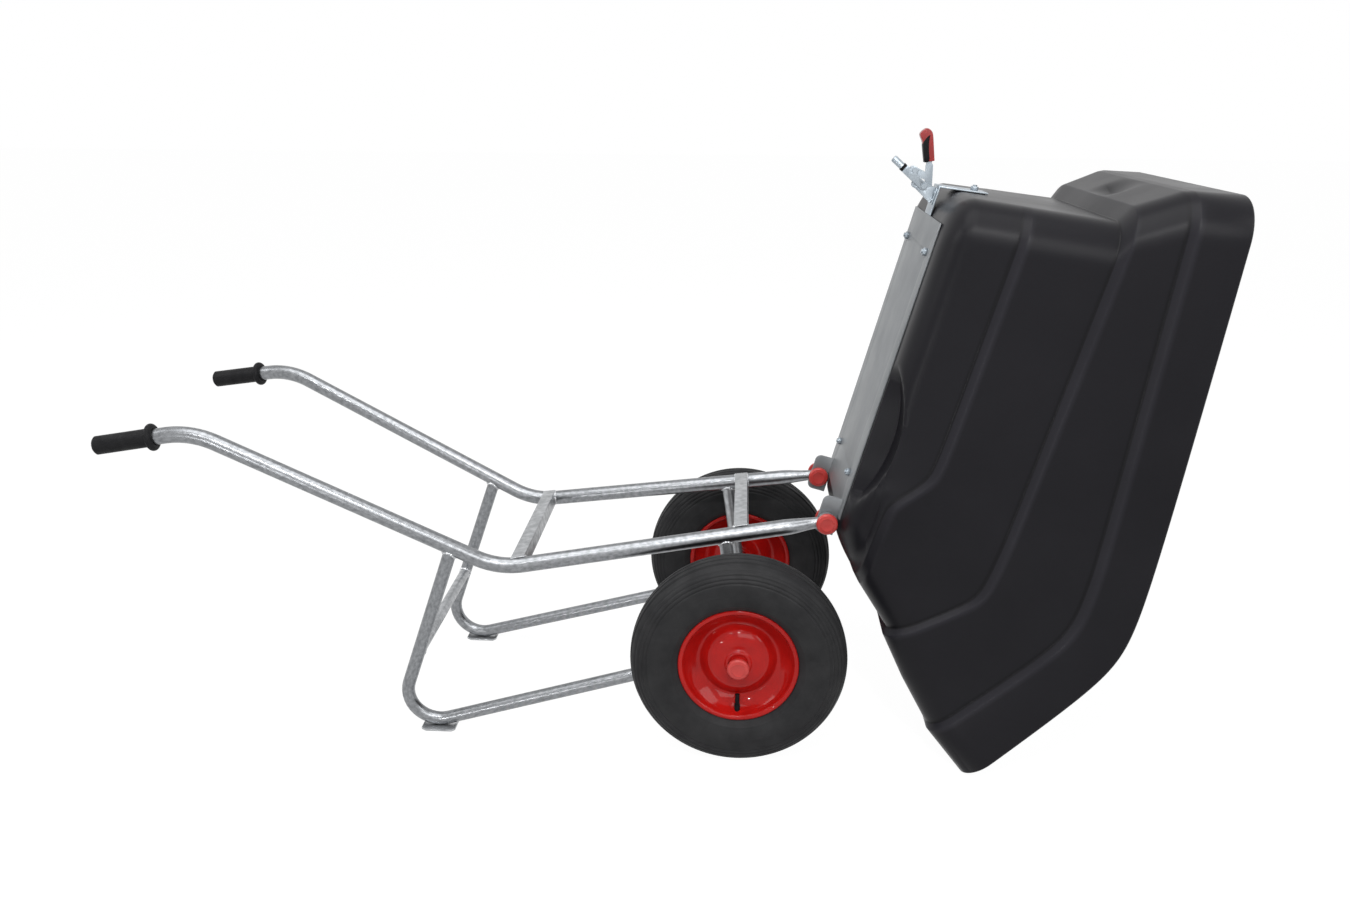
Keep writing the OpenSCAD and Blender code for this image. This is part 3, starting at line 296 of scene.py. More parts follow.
def sweep(path, half, sides=40):
    """Rings along a path. half gives each ring's half sizes across and up. Returns points, faces and uv."""
    verts, uv, run = [], [], 0.0
    for k, p in enumerate(path):
        a, b = path[max(k - 1, 0)], path[min(k + 1, len(path) - 1)]
        t = unit(b - a)
        e1 = unit(np.array([0, 1, 0]) - t * t[1])
        e2 = np.cross(t, e1)
        if k:
            run += np.linalg.norm(p - path[k - 1])
        for i in range(sides + 1):
            q = 2 * math.pi * i / sides
            verts.append(p + e1 * math.cos(q) * half[k][0] + e2 * math.sin(q) * half[k][1])
            uv.append((i / sides, run))
    n, faces = sides + 1, []
    for r in range(len(path) - 1):
        faces += [(r * n + i, r * n + i + 1, (r + 1) * n + i + 1, (r + 1) * n + i) for i in range(sides)]
    return verts, faces, uv


def side_of(pts, side):
    return np.array(pts, float) * [1, side, 1]


def flip(faces, side):
    return faces if side > 0 else [f[::-1] for f in faces]


def lathe(profile, n, closed=False):
    """Profile of (radius, height) turned round Z."""
    turns = [2 * math.pi * i / n for i in range(n)]
    verts = [(r * math.cos(q), r * math.sin(q), z) for r, z in profile for q in turns]
    return verts, grid_faces(len(profile), n, closed)


def smooth_line(points, times=2, cut=0.25):
    """An open line with its corners cut, twice by default."""
    pts = np.array(points, float)
    for _ in range(times):
        a, b = pts[:-1], pts[1:]
        mids = np.stack([a * (1 - cut) + b * cut, a * cut + b * (1 - cut)], 1).reshape(-1, 2)
        pts = np.vstack([pts[:1], mids, pts[-1:]])
    return pts


def onto(p, way, at, axis, radius):
    """Where the line from p along way first meets a round tube."""
    axis = unit(axis)
    d, w = p - at, way - axis * (way @ axis)
    d = d - axis * (d @ axis)
    a, b, c = w @ w, 2 * d @ w, d @ d - radius ** 2
    root = b * b - 4 * a * c
    return p + way * ((-b - math.sqrt(max(root, 0))) / (2 * a))


def outline(at, way, half, power=2.0, n=72, up=(0, 0, 1)):
    """Round or square outline of a branch, square to way."""
    way = unit(way)
    e1 = unit(np.array(up, float) - way * (np.array(up) @ way))
    e2 = np.cross(way, e1)
    pts = []
    for i in range(n):
        c, s = math.cos(2 * math.pi * i / n), math.sin(2 * math.pi * i / n)
        k = (abs(c) ** power + abs(s) ** power) ** (-1 / power)
        pts.append(at + (e1 * c + e2 * s) * half * k)
    return pts


BEAD_SIDES, RIPPLE, ROUGH = 8, 0.24, 0.10


def bead(name, curve, size=0.0028, waves=19, flat=None):
    """Rippled weld bead along a closed curve, on both sides; flat is (up, height) of a ground top."""
    curve = np.array(curve)
    n, m = len(curve), BEAD_SIDES
    mid, verts = curve.mean(0), []
    for i, p in enumerate(curve):
        t = unit(curve[(i + 1) % n] - curve[i - 1])
        e1 = unit((p - mid) - t * ((p - mid) @ t))
        e2 = np.cross(t, e1)
        q = 2 * math.pi * i / n
        s = size * (1 + RIPPLE * math.sin(q * waves + 2 * math.sin(q * 3)) + ROUGH * rng.standard_normal())
        verts += [p + (e1 * math.cos(2 * math.pi * j / m) + e2 * math.sin(2 * math.pi * j / m)) * s
                  for j in range(m)]
    if flat:
        over = np.maximum((np.array(verts) - LOWER) @ flat[0] - flat[1], 0)
        verts = np.array(verts) - over[:, None] * flat[0]
    for side, tag in SIDES:
        add(tag + "_" + name, side_of(verts, side), flip(grid_faces(n, m, True), -side),
            "weld", "frame")


# Rails, hinge bushes and legs
RAIL_WAY = unit(HINGE - LOWER)
TAPER = HINGE - RAIL_WAY * RAIL_TAPER
NECK_END = HINGE - RAIL_WAY * NECK_SHORT
START = GRIP_END + unit(UPPER - GRIP_END) * GRIP_SKIN
FOOT_Z = FOOT_TOP + LEG_R + LEG_BEND
foot_up = AXLE[2] - FOOT_Z
foot_run = math.hypot(FOOT_REACH, foot_up)
LEG_RISE = math.atan2(foot_up, FOOT_REACH) + math.asin((LEG_BEND - LEG_BELOW_AXLE) / foot_run)
steep = math.pi / 2 - LEG_LEAN
corner_run, corner_way = LEG_BEND / math.sin((steep - LEG_RISE) / 2), (steep + LEG_RISE) / 2
CORNER = np.array([AXLE[0] - FOOT_REACH - corner_run * math.cos(corner_way), FOOT_HALF,
                   FOOT_Z - corner_run * math.sin(corner_way)])
FRONT = np.array([AXLE[0] + LEG_PAST_AXLE, LEG_HALF,
                  AXLE[2] - LEG_BELOW_AXLE / math.cos(LEG_RISE) + LEG_PAST_AXLE * math.tan(LEG_RISE)])
handle_fall = (UPPER[2] - LOWER[2]) / (LOWER[0] - UPPER[0])
lean_cos, lean_sin = math.cos(LEG_LEAN), math.sin(LEG_LEAN)
top_x = (CORNER[0] * lean_cos + (LOWER[2] - CORNER[2] + LOWER[0] * handle_fall) * lean_sin) / (
    lean_cos + handle_fall * lean_sin)
LEG_TOP = LOWER + (UPPER - LOWER) * (top_x - LOWER[0]) / (UPPER[0] - LOWER[0])


def rail_tube(side, tag, neck_n=12):
    """Bent rail whose front end necks down to the hinge bush."""
    path = bent_path([START, UPPER, LOWER, TAPER], RAIL_BEND)
    half, neck = [(RAIL_R, RAIL_R)] * len(path), []
    for t in (k / neck_n for k in range(1, neck_n + 1)):
        s = t * t * (3 - 2 * t)
        p = mix(TAPER, NECK_END, t)
        p[1] = mix(TAPER[1], HINGE[1], s)
        neck.append(p)
        half.append((mix(RAIL_R, NECK_ACROSS, min(1, s * NECK_LEAD)), mix(RAIL_R, NECK_UP, s)))
    v, f, uv = sweep(np.vstack([path, neck]), half)
    add(tag + "_rail_tube", side_of(v, side), flip(f, side), "galv_tube", "frame", uv,
        (tag + "_rail",))


def hinge_bush(side, tag, round_n=56):
    upper = [(BUSH_R, BUSH_HALF - BUSH_EDGE), (BUSH_R - BUSH_EDGE, BUSH_HALF), (BUSH_BORE_R, BUSH_HALF)]
    v, f = lathe([(r, -z) for r, z in upper[::-1]] + upper, round_n, True)
    v = np.array(v)[:, [0, 2, 1]] * [1, side, 1] + HINGE * [1, side, 1]
    split(add(tag + "_hinge_bush", v, flip(f, -side), "galvanised", "frame", None,
              (tag + "_hinge_bush",)), BUSH_SHARP)


def leg_tube(side, tag, sides=36):
    """Bent leg with an open front end."""
    path = bent_path([LEG_TOP, CORNER, FRONT], LEG_BEND)
    v, f, uv = sweep(path, [(LEG_R, LEG_R)] * len(path), sides)
    inner = sweep(path[-3:], [(LEG_R - LEG_WALL,) * 2] * 3, sides)
    base, n = len(v), sides + 1
    v, uv = v + inner[0], uv + inner[2]
    f += [tuple(i + base for i in q[::-1]) for q in inner[1]]
    f += [(base - n + i, base - n + i + 1, base + 2 * n + i + 1, base + 2 * n + i) for i in range(sides)]
    split(add(tag + "_leg_tube", side_of(v, side), flip(f, side), "galv_tube", "frame", uv,
              (tag + "_leg",)), LEG_SHARP)


for side, tag in SIDES:
    rail_tube(side, tag)
    hinge_bush(side, tag)
    leg_tube(side, tag)

# Weld beads where tubes and bars meet
LEFT = np.array([0, 1.0, 0])
ALONG = np.array([math.cos(SLOPE), 0, math.sin(SLOPE)])
ABOVE = np.array([-math.sin(SLOPE), 0, math.cos(SLOPE)])
rail_over_axle = HINGE[2] - AXLE[2] - (HINGE[0] - AXLE[0]) * math.tan(SLOPE)
STRUT_X = AXLE[0] - rail_over_axle * math.sin(SLOPE) * math.cos(SLOPE)
STRUT_TOP = LOWER + (HINGE - LOWER) * (STRUT_X - LOWER[0]) / (HINGE[0] - LOWER[0])
STRUT_FOOT = np.array([AXLE[0], STRUT_TOP[1], AXLE[2]])
LEG_BAR = CORNER + (LEG_TOP - CORNER) * LEG_BAR_SHARE
AXLE_WELD_R, STAND_OFF, LEG_STAND_OFF, GROUND_OFF = 0.0098, 0.06, 0.08, 0.0006
AXLE_BEAD, BAR_BEAD, BAR_WAVES, LEG_BAR_BEAD = 0.0034, 0.0024, 26, 0.0025
BAR_SQUARE, BAR_START, BAR_N, LEG_BAR_START = 9.0, 0.05, 96, 0.5
way = unit(LEG_TOP - CORNER)
bead("leg_weld", [onto(p, way, LEG_TOP, UPPER - LOWER, RAIL_R)
                  for p in outline(LEG_TOP - way * LEG_STAND_OFF, way, LEG_R)])
way = unit(STRUT_TOP - STRUT_FOOT)
bead("strut_weld", [onto(p, way, STRUT_TOP, HINGE - LOWER, RAIL_R)
                    for p in outline(STRUT_TOP - way * STAND_OFF, way, LEG_R, up=(1, 0, 0))])
bead("axle_weld", [onto(p, -way, STRUT_FOOT, LEFT, AXLE_R)
                   for p in outline(STRUT_FOOT + way * STAND_OFF, way, AXLE_WELD_R, up=(1, 0, 0))], AXLE_BEAD)
for name, back in (("rear_bar_weld", REAR_BAR), ("front_bar_weld", FRONT_BAR)):
    at = np.array([HINGE[0], BAR_START, HINGE[2]]) - ALONG * back + ABOVE * BAR_LIFT
    bead(name, [onto(p, LEFT, LOWER, HINGE - LOWER, RAIL_R)
                for p in outline(at, LEFT, BAR / 2, BAR_SQUARE, BAR_N, ABOVE)],
         BAR_BEAD, BAR_WAVES, (ABOVE, BAR_LIFT + BAR / 2 - GROUND_OFF))
bead("leg_bar_weld", [onto(p, LEFT, LEG_BAR, LEG_TOP - CORNER, LEG_R)
                      for p in outline(LEG_BAR * [1, LEG_BAR_START, 1], LEFT, LEG_BAR_R)], LEG_BAR_BEAD)

# Wheels, in millimetres: tyres with fine ribs and rims with a pressed bowl and dome
TYRE_MID, TYRE_DEEP, TYRE_HALF, TYRE_SQUARE, TYRE_TURN = 150.75, 49.25, 50, 0.78, (-55, 235)
TYRE_N, TYRE_ROUND_N, RIM_N = 361, 144, 128
RIBS, RIB_DEEP, RIB_WIDE, RIB_FROM = (168, 175, 182, 189), 1.3, 1.5, 24
TREADS, TREAD_DEEP, TREAD_WIDE, TREAD_HALF, TREAD_R = (-22.5, -7.5, 7.5, 22.5), 3.6, 1.9, 3.2, 180
TREAD_POWER = 0.5
RINGS = ((146, 0.3, 1.6), (122, 0.5, 2.0))
HEEL = [(108.8, -33.2), (101.9, -33.2), (101.9, -21.5), (110, -22), (118, -38)]
RIM_LIP = [(101.2, 22), (101.4, 32.6), (104, 33.3), (107.6, 33.5), (108.9, 34.4), (109.0, 35.6),
           (107.8, 36.6), (105.6, 36.7), (103.4, 35.4), (101.6, 32.0)]
RIM_BOWL = [(100.2, 27.6), (97.2, 23.0), (92.4, 17.4), (87.0, 11.9), (81.4, 7.0), (77.0, 3.9), (73.6, 2.6)]
RIM_DOME = [(70.6, 3.0), (67.8, 5.2), (64.2, 9.4), (60.2, 13.6), (55.6, 17.4), (50.6, 20.2), (45.4, 21.8),
            (40, 22.3), (34, 22.2), (29, 22.2), (26.4, 22.6), (24.0, 24.2), (22.4, 26.4),
            (20.6, 27.4), (18.3, 27.6)]
RIM_WELL = [(101.2, 22), (97, 17), (88, 8), (87, 0), (88, -8), (97, -17), (101.2, -22)]
RIM_SHEET = 1.5


def tyre_point(q):
    s, c = math.sin(q), math.cos(q)
    return (TYRE_MID + TYRE_DEEP * math.copysign(abs(s) ** TYRE_SQUARE, s),
            TYRE_HALF * math.copysign(abs(c) ** TYRE_SQUARE, c))


def dent(x, at, wide):
    return math.exp(-((x - at) / wide) ** 2)


def tyre_relief(r, z):
    """How far the tyre's skin stands out at a point of its section."""
    ribs = sum(RIB_DEEP * dent(r, at, RIB_WIDE) for at in RIBS) * (abs(z) > RIB_FROM)
    treads = sum(TREAD_DEEP * dent(z, at, TREAD_WIDE) ** TREAD_POWER
                 for at in TREADS if abs(z - at) < TREAD_HALF)
    return sum(high * dent(r, at, wide) for at, high, wide in RINGS) - ribs - treads * (r > TREAD_R)


def tyre_section():
    line = np.array([tyre_point(q) for q in np.radians(np.linspace(*TYRE_TURN, TYRE_N))])
    tangent = np.gradient(line, axis=0)
    tangent /= np.linalg.norm(tangent, axis=1, keepdims=True)
    tread = [(r - tz * d, z + tr * d) for (r, z), (tr, tz) in zip(line, tangent) for d in [tyre_relief(r, z)]]
    return np.vstack([tread, HEEL, [(r, -z) for r, z in HEEL[::-1]]])


def on_wheel(v, side):
    v = np.array(v) * MM
    return np.stack([v[:, 0], side * v[:, 2], v[:, 1]], 1) + np.array([AXLE[0], side * WHEEL_Y, AXLE[2]])


for side, tag in SIDES:
    body = tag + "_wheel"
    v, f = lathe(tyre_section(), TYRE_ROUND_N, True)
    split(add(tag + "_tyre_body", on_wheel(v, side), flip(f, side), "tyre", body, None,
              (tag + "_tyre",)), TYRE_SHARP)
    for end, face_name in ((1, "_rim_outer"), (-1, "_rim_inner")):
        v, f = lathe(smooth_line(RIM_LIP + RIM_BOWL + RIM_DOME) * [1, end], RIM_N)
        o = add(tag + face_name, on_wheel(v, side), flip(f, side * end), "rim_red", body, None,
                (tag + "_rim",) if end > 0 else ())
        o.modifiers.new("sheet", "SOLIDIFY").thickness = RIM_SHEET * MM
    v, f = lathe(RIM_WELL, RIM_N)
    add(tag + "_rim_well", on_wheel(v, side), flip(f, -side), "rim_red", body)

# Tub, in millimetres in its own frame: the same sections as the source, finer and with rounded step edges
TUB = SimpleNamespace(
    rear=636, rim_rear=757, lip=349, base_half=160, side_half=228, rim_half=325, rim_h=443, wall=4,
    base_h=21.2, fillet_h=45, lean=0.13, step_h=(132, 284, 358), step_w=10, rise=13,
    over_step=30, over_top=20, over_lip=5, side_rise=7.3, rim_rise=7.7, nose=(0.06, 0.40, 0.44, 0.838, 0.87),
    halves=(0.155, 0.454, 0.742), bend_x=(-124, 84, 164), bend_h=(100, 216, 366), fall=(42, 48, 34),
    soft=(10, 14, 22), nose_soft_share=0.5, front_h=72, rim_bend=(161, 478), rim_fall=32, rim_soft=28,
    base_taper=10, tapers=(12, 16, 22), taper_from=100, rear_r=70, base_nose_r=90, nose_r=(75, 50, 50),
    inset_r_share=0.45, inset_nose_share=0.18, arch_r=266, arch_in=12, hold_half=70, hold_deep=14,
    hold_reach=1, edge_r=1.8, lip_r=2.2)
SECTION_SIZES = "rear front half nose_half rear_r nose_r z rise bend_x bend_z fall soft nose_z hold"
Section = namedtuple("Section", SECTION_SIZES)
hinge_run, hinge_up = (HINGE[0] - AXLE[0]) / MM, (HINGE[2] - AXLE[2]) / MM
WHEEL = (-hinge_run * math.cos(SLOPE) - hinge_up * math.sin(SLOPE),
         hinge_run * math.sin(SLOPE) - hinge_up * math.cos(SLOPE))
REAR_N, EDGE_N, SIDE_N, FILLET_N, LIP_N = 20, 14, 96, 9, 7
# Numbers of the sections in a crease, on an edge and at the hand hold, and of the two steps whose painted
# light fades
CREASES, EDGES, HOLD, FIRST_STEP, SECOND_STEP = (9, 11, 14), (10, 12, 15), 13, (9, 10), (11, 12)
# Extra rows below and above such a section, as distance and painted light: painted shade under 0.5, painted
# highlight over 0.5
CREASE_ROWS, EDGE_ROWS, HOLD_ROW = ((6, 0.5), (4, 0.8)), ((4, 0.95), (9, 0.5)), 12
# The painted shade and highlight fade towards the nose by x and round the rear corner by column, down to a
# least share
FADE_X, FADE_RUN, FADE_COL, FADE_COLS = -10, 90, 22, 12
# Least shares of that fade, the painted shadow in the hand hold, and the value with no painted light
FIRST_LEAST, SECOND_LEAST, HOLD_PAINTED_SHADOW, PLAIN = 0.1, 0.4, 0.45, 0.5
# Steps round a section's edge, and how much of the faces beside it the round and the rows may take
ROUND_STEPS, ONE_STEP, ROUND_SHARE, ROW_SHARE, SHORTEST = (0, 0.25, 0.5, 0.75, 1), (0.5,), 0.2, 0.4, 1e-6


def nose_at(z):
    return TUB.lip * TUB.nose[0] + (z - TUB.base_h)


def wall_at(z):
    return -TUB.rear - (z - TUB.base_h - TUB.fillet_h) * TUB.lean


def base_section(a, b):
    """Section of the filleted base, a share across and a share up its fillet."""
    inset, z = (TUB.side_half - TUB.base_half) * (1 - a), TUB.base_h + TUB.fillet_h * b
    half, less = TUB.side_half - inset, inset * TUB.inset_r_share
    return Section(inset - TUB.rear, nose_at(z) - inset * TUB.inset_nose_share, half,
                   half - TUB.base_taper * a, TUB.rear_r - less, TUB.base_nose_r - less,
                   z, 0, 0, z, 0, 0, z, 0)


def step_section(k, up):
    """Section below (up 0) or above (up 1) the k-th step."""
    half = mix(TUB.side_half, TUB.rim_half, TUB.halves[k]) + TUB.step_w * up
    lift = TUB.rise * up
    z, nose_z = TUB.step_h[k] + lift, TUB.front_h + lift
    rear = (wall_at(z), wall_at(TUB.step_h[1]) - TUB.over_step * up,
            TUB.over_top - TUB.rim_rear - TUB.over_lip * up)[k]
    front = (nose_at(nose_z), TUB.lip * TUB.nose[1 + up], TUB.lip * TUB.nose[3 + up])[k]
    return Section(rear, front, half, half - TUB.tapers[k], TUB.rear_r, TUB.nose_r[k], z,
                   (0, 0, TUB.side_rise)[k], TUB.bend_x[k], TUB.bend_h[k] + lift, TUB.fall[k], TUB.soft[k],
                   -TUB.rim_h if k else nose_z, 0)


rim_section = Section(-TUB.rim_rear, TUB.lip, TUB.rim_half, TUB.rim_half, TUB.rear_r, TUB.nose_r[2],
                      TUB.rim_h, TUB.rim_rise, *TUB.rim_bend, TUB.rim_fall, TUB.rim_soft, -TUB.rim_h, 0)
hold_section = Section(*(mix(a, b, 0.5) for a, b in zip(step_section(1, 1), step_section(2, 0))))
fillet = [(math.sin(a), 1 - math.cos(a)) for a in np.linspace(0, math.pi / 2, FILLET_N)]
sections = [base_section(a, b) for a, b in fillet] + [step_section(k, u) for k in (0, 1) for u in (0, 1)]
sections += [hold_section._replace(hold=TUB.hold_deep), step_section(2, 0), step_section(2, 1), rim_section]


def inside(s):
    w = TUB.wall
    return s._replace(rear=s.rear + w, front=s.front - w, half=s.half - w, nose_half=s.nose_half - w,
                      z=s.z + w, rear_r=s.rear_r - w, nose_r=s.nose_r - w,
                      bend_z=s.bend_z + w, nose_z=s.nose_z + w)


def half_plan(s):
    """One side of a section in plan, from the middle of the rear to the middle of the nose."""
    out = [(s.rear, (s.half - s.rear_r) * i / REAR_N) for i in range(REAR_N)]
    turns = [math.pi / 2 * i / EDGE_N for i in range(EDGE_N + 1)]
    out += [(s.rear + s.rear_r * (1 - math.cos(a)), s.half - s.rear_r * (1 - math.sin(a))) for a in turns]
    nose_x = s.front - s.nose_r
    for i in range(1, SIDE_N):
        x = mix(s.rear + s.rear_r, nose_x, i / SIDE_N)
        share = min(max((x + TUB.taper_from) / (nose_x + TUB.taper_from), 0), 1)
        out.append((x, mix(s.half, s.nose_half, share)))
    out += [(s.front - s.nose_r * (1 - math.sin(a)), s.nose_half - s.nose_r * (1 - math.cos(a)))
            for a in turns]
    return out + [(s.front, (s.nose_half - s.nose_r) * (1 - i / REAR_N)) for i in range(1, REAR_N + 1)]


def soft(a, b, s, sign):
    """The larger (sign 1) or smaller (sign -1) of two values, blended where they meet."""
    return (a + b) / 2 + sign * math.sqrt(((a - b) / 2) ** 2 + s * s)


def tan_deg(a):
    return math.tan(math.radians(a))


def place(s, p, wall):
    """Height of a plan point on its section, with the bend to the nose, the wheel arch and the hand hold."""
    x, y = p
    z = s.z
    if s.fall:
        bent = soft(s.z + tan_deg(s.rise) * (x - s.rear), s.bend_z - tan_deg(s.fall) * (x - s.bend_x),
                    s.soft, -1)
        z = soft(bent, s.nose_z, s.soft * TUB.nose_soft_share, 1)
    dx, r = x - WHEEL[0], TUB.arch_r + wall
    z_arch = WHEEL[1] + (math.sqrt(r * r - dx * dx) if abs(dx) < r else 0)
    if y > TUB.base_half + TUB.arch_in - wall and z < z_arch:
        z = z_arch
    if s.hold > 0 and x < s.rear + TUB.hold_reach and y < TUB.hold_half:
        x += s.hold * (1 - (y / TUB.hold_half) ** 2) ** 2
    return (x, y, z)


def skin_rows(secs, wall):
    """Rows of points with rounded edges over the sections, each with painted light: 0 shade in a crease, 1
    highlight on an edge.
    """
    loops = np.array([[place(s, p, wall) for p in half_plan(s)] for s in secs])
    plain, col = np.full(len(loops[0]), PLAIN), np.arange(len(loops[0]))
    rows, painted_light = [loops[0]], [plain]
    for k in range(1, len(loops) - 1):
        a, b, c = loops[k - 1], loops[k], loops[k + 1]
        la, lc = (np.linalg.norm(v - b, axis=1, keepdims=True) for v in (a, c))
        ua, uc = (a - b) / np.maximum(la, SHORTEST), (c - b) / np.maximum(lc, SHORTEST)
        d = np.minimum(TUB.edge_r, ROUND_SHARE * np.minimum(la, lc))
        steps = ROUND_STEPS if k >= CREASES[0] else ONE_STEP
        edge = [b + ua * d * (1 - t) ** 2 + uc * d * t * t for t in steps]
        if k == HOLD:
            # Painted shadow in the hand hold's recess, on the rear face
            hold_shadow_mask = (1 - np.minimum(b[:, 1] / TUB.hold_half, 1) ** 2) ** 2 * (col < REAR_N)
            (near, tone), (far, far_tone) = (HOLD_ROW, plain), (HOLD_ROW, plain)
            tones = [PLAIN - HOLD_PAINTED_SHADOW * hold_shadow_mask] * len(edge)
        elif k in CREASES + EDGES:
            # Painted shade along the creases and painted highlight along the step edges, fading out
            fade = np.clip((FADE_X - b[:, 0]) / FADE_RUN, FIRST_LEAST, 1) if k in FIRST_STEP else 1
            fade = fade * np.clip((col - FADE_COL) / FADE_COLS, SECOND_LEAST if k in SECOND_STEP else 0, 1)
            (near, tone), (far, far_tone) = CREASE_ROWS if k in CREASES else EDGE_ROWS
            tone, mid_tone, far_tone = (PLAIN + (v - PLAIN) * fade
                                        for v in (tone, float(k in EDGES), far_tone))
            tones = [mid_tone] * len(edge)
        else:
            rows, painted_light = rows + edge, painted_light + [plain] * len(edge)
            continue
        rows += [b + ua * np.minimum(near, ROW_SHARE * la)] + edge
        rows += [b + uc * np.minimum(far, ROW_SHARE * lc)]
        painted_light += [tone] + tones + [far_tone]
    return rows + [loops[-1]], painted_light + [plain]


def tub_shell():
    """The tub as one closed skin: outside, rounded rim, inside, and a fan over each floor."""
    outer, outer_painted_light = skin_rows(sections, 0)
    inner, inner_painted_light = skin_rows([inside(s) for s in sections], TUB.wall)
    mid, half = (outer[-1] + inner[-1]) / 2, (outer[-1] - inner[-1]) / 2
    rim = [mid + half * math.cos(q) + np.array([0, 0, TUB.lip_r]) * math.sin(q)
           for q in np.linspace(0, math.pi, LIP_N)]
    half_rows = outer[:-1] + rim + inner[-2::-1]
    # Inside, creases and edges swap, and so do painted shade and painted highlight
    painted_light = outer_painted_light[:-1] + [outer_painted_light[-1]] * len(rim) + [1 - v for v in inner_painted_light[-2::-1]]
    painted_light = np.concatenate([np.append(v, v[-2:0:-1]) for v in painted_light] + [[PLAIN, PLAIN]])
    rows = [np.vstack([h, h[-2:0:-1] * [1, -1, 1]]) for h in half_rows]
    n = len(rows[0])
    verts = np.vstack(rows) * MM
    faces = [f[::-1] for f in grid_faces(len(rows), n)]
    for row, way in ((0, 1), (len(rows) - 1, -1)):
        c = len(verts)
        verts = np.vstack([verts, (verts[row * n] + verts[row * n + n // 2]) / 2])
        faces += [(c, row * n + i, row * n + (i + 1) % n)[::way] for i in range(n)]
    o = split(add("tub_shell", to_row(verts), faces, "tub_skin_painted_light", "tipping_tub", None,
                  ("tub",)), TUB_SHARP)
    # Painted shade and painted highlight for each point, read by the tub's material
    o.data.attributes.new("painted_light", "FLOAT", "POINT").data.foreach_set("value", painted_light)


tub_shell()

# Lever grip, in millimetres along and across the lever: red moulding with a black inlay
CLAMP_AT, GRIP_FROM, GRIP_START, LEVER_WAY = (-625, -6), (-36.6, -0.3), 8, math.radians(203)
GRIP_THICK, INLAY_THICK, GRIP_EDGE, INLAY_EDGE = 17, 17.8, 3.0 * MM, 1.2 * MM
GRIP_RED = [(0, -9), (0, 9), (12, 9.2), (30, 9), (38, 10), (45, 12.6), (50, 13.2), (54.5, 9), (58.4, 2),
            (58.4, -1), (56, -5), (51, -8.8), (44, -9.8), (30, -9.5), (12, -9.2)]
GRIP_BLACK = [(-0.6, 9.2), (-0.6, -0.5), (14, 0), (30, -0.6), (42, -3.2), (47, -5.4), (44, 0.5), (38, 6.5),
              (34, 9.7), (20, 9.7)]


def on_lever(u, v, y):
    """Along the lever, across it and out of its plane, to the row frame."""
    c, s = math.cos(LEVER_WAY), math.sin(LEVER_WAY)
    x = CLAMP_AT[0] + GRIP_FROM[0] + u * c - v * s
    z = CLAMP_AT[1] + GRIP_FROM[1] + u * s + v * c
    return to_row(np.stack([x, y, z], -1) * MM)


def grip_slab(name, points, thick, mat, edge, replaces=()):
    pts = smooth_line(points + points[:1])[:-1]
    n = len(pts)
    verts = [on_lever(pts[:, 0] + GRIP_START, pts[:, 1], np.full(n, y)) for y in (-thick / 2, thick / 2)]
    faces = [(i, (i + 1) % n, n + (i + 1) % n, n + i) for i in range(n)]
    faces += [tuple(range(n))[::-1], tuple(range(n, 2 * n))]
    o = add(name, np.vstack(verts), faces, mat, "lever", None, replaces)
    soften(o, edge, *GRIP_BEVEL)
    split(o, GRIP_SHARP)


grip_slab("lever_grip_red", GRIP_RED, GRIP_THICK, "clamp_red", GRIP_EDGE, ("clamp_grip",))
grip_slab("lever_grip_black", GRIP_BLACK, INLAY_THICK, "black_part", INLAY_EDGE)

# Stage, light and camera
FLOOR_TONE, FLOOR_WHITE, FLOOR_SHARE = 0.60, 1.10, 0.88
FLOOR = [(-14, -8, 0), (14, -8, 0), (14, 20, 0), (-14, 20, 0)]
ROOM_LIGHT, ROOM_TONES = 0.42, [(0.0, 0.15), (0.22, 0.22), (0.45, 0.75), (0.8, 1.0)]
CAMERA_AT, FOCUS_PX, PHOTO_W, SENSOR = (0.182, -2.182, 1.206), 1159, 1350, 36
YAW, PITCH, ROLL = math.radians(-3.25), math.radians(17.42), math.radians(0.39)


def emitter(name, loc, target, size, power):
    light = bpy.data.lights.new(name, "AREA")
    light.shape, light.size, light.size_y, light.energy = "RECTANGLE", size[0], size[1], power
    o = bpy.data.objects.new(name, light)
    o.location = loc
    o.rotation_euler = (Vector(target) - Vector(loc)).to_track_quat("-Z", "Y").to_euler()
    bpy.context.scene.collection.objects.link(o)


emitter("top", (-0.4, -0.7, 3.4), (-0.2, 0.0, 0.4), (2.8, 2.2), 56)
emitter("front", (1.2, -3.4, 2.4), (0.2, 0.0, 0.5), (2.4, 1.6), 36)
emitter("right", (3.2, -1.6, 2.4), (0.6, 0.0, 0.6), (1.6, 2.0), 30)
emitter("left", (-3.0, -0.6, 2.4), (0.0, 0.0, 0.5), (1.4, 1.4), 22)
emitter("spark_mid", (0.24, -2.6, 2.9), (0.2, 0.0, 0.3), (0.07, 0.06), 26)
emitter("spark_left", (-0.9, -2.4, 2.7), (0.2, 0.0, 0.3), (0.07, 0.06), 10)
emitter("spark_low", (-1.0, -2.6, 0.5), (0.2, -0.3, 0.2), (0.16, 0.16), 6)


def sees_background(nt):
    """1 for the rays that see the pale background: from the camera, in gloss and through glass."""
    path = nt.nodes.new("ShaderNodeLightPath")
    seen = path.outputs["Is Camera Ray"]
    for kind in ("Is Glossy Ray", "Is Transmission Ray"):
        both = nt.nodes.new("ShaderNodeMath")
        both.operation = "MAXIMUM"
        nt.links.new(seen, both.inputs[0])
        nt.links.new(path.outputs[kind], both.inputs[1])
        seen = both.outputs[0]
    return seen


def blend(nt, share, first, second, out):
    mx = nt.nodes.new("ShaderNodeMixShader")
    for source, target in zip((share, first.outputs[0], second.outputs[0]), mx.inputs):
        nt.links.new(source, target)
    nt.links.new(mx.outputs[0], out.inputs[0])


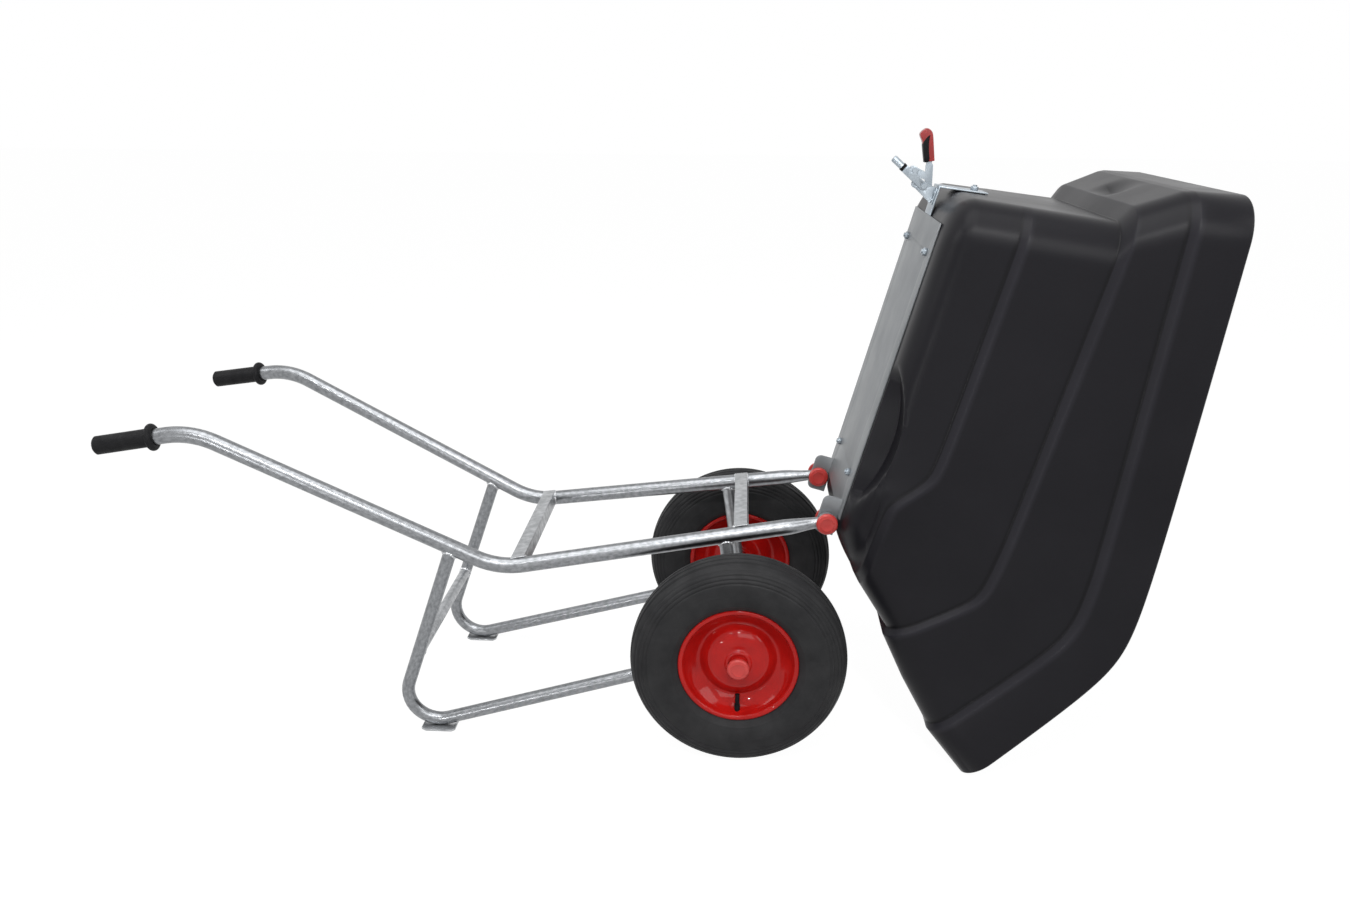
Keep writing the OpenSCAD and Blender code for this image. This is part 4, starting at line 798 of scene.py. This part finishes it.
def floor_mat():
    """Pale floor that keeps a faint shadow."""
    m = bpy.data.materials.new("floor")
    m.use_nodes = True
    nt = m.node_tree
    nt.nodes.clear()
    out = nt.nodes.new("ShaderNodeOutputMaterial")
    matt = nt.nodes.new("ShaderNodeBsdfDiffuse")
    matt.inputs[0].default_value = (FLOOR_TONE, FLOOR_TONE, FLOOR_TONE, 1)
    white = nt.nodes.new("ShaderNodeEmission")
    white.inputs[0].default_value = (1, 1, 1, 1)
    white.inputs[1].default_value = FLOOR_WHITE
    share = nt.nodes.new("ShaderNodeMath")
    share.operation = "MULTIPLY"
    share.inputs[1].default_value = FLOOR_SHARE
    nt.links.new(sees_background(nt), share.inputs[0])
    blend(nt, share.outputs[0], matt, white, out)
    return m


def studio_world():
    """White to look at, and a soft room, brighter overhead, for the light on the cart."""
    world = bpy.data.worlds.new("studio")
    world.use_nodes = True
    nt = world.node_tree
    nt.nodes.clear()
    out = nt.nodes.new("ShaderNodeOutputWorld")
    white = nt.nodes.new("ShaderNodeBackground")
    white.inputs[0].default_value = (1, 1, 1, 1)
    white.inputs[1].default_value = 1.0
    room = nt.nodes.new("ShaderNodeBackground")
    room.inputs[1].default_value = ROOM_LIGHT
    tc = nt.nodes.new("ShaderNodeTexCoord")
    sep = nt.nodes.new("ShaderNodeSeparateXYZ")
    nt.links.new(tc.outputs["Generated"], sep.inputs[0])
    nt.links.new(ramp(nt, sep.outputs[2], ROOM_TONES), room.inputs[0])
    blend(nt, sees_background(nt), room, white, out)
    return world


me = bpy.data.meshes.new("floor")
me.from_pydata(FLOOR, [], [(0, 1, 2, 3)])
me.materials.append(floor_mat())
floor = bpy.data.objects.new("floor", me)
bpy.context.scene.collection.objects.link(floor)
bpy.context.scene.world = studio_world()

ahead = np.array([math.sin(YAW) * math.cos(PITCH), math.cos(YAW) * math.cos(PITCH), -math.sin(PITCH)])
level = np.array([math.cos(YAW), -math.sin(YAW), 0])
over = np.cross(level, ahead)
right = math.cos(ROLL) * level + math.sin(ROLL) * over
up = math.cos(ROLL) * over - math.sin(ROLL) * level
lens = bpy.data.cameras.new("camera")
lens.sensor_width = SENSOR
lens.lens = FOCUS_PX / PHOTO_W * SENSOR
camera = bpy.data.objects.new("camera", lens)
turned = np.stack([right, up, -ahead], 1)
camera.matrix_world = Matrix([[*row, at] for row, at in zip(turned, CAMERA_AT)] + [[0, 0, 0, 1]])
bpy.context.scene.collection.objects.link(camera)
bpy.context.scene.camera = camera
bpy.context.scene.view_settings.view_transform = "Standard"
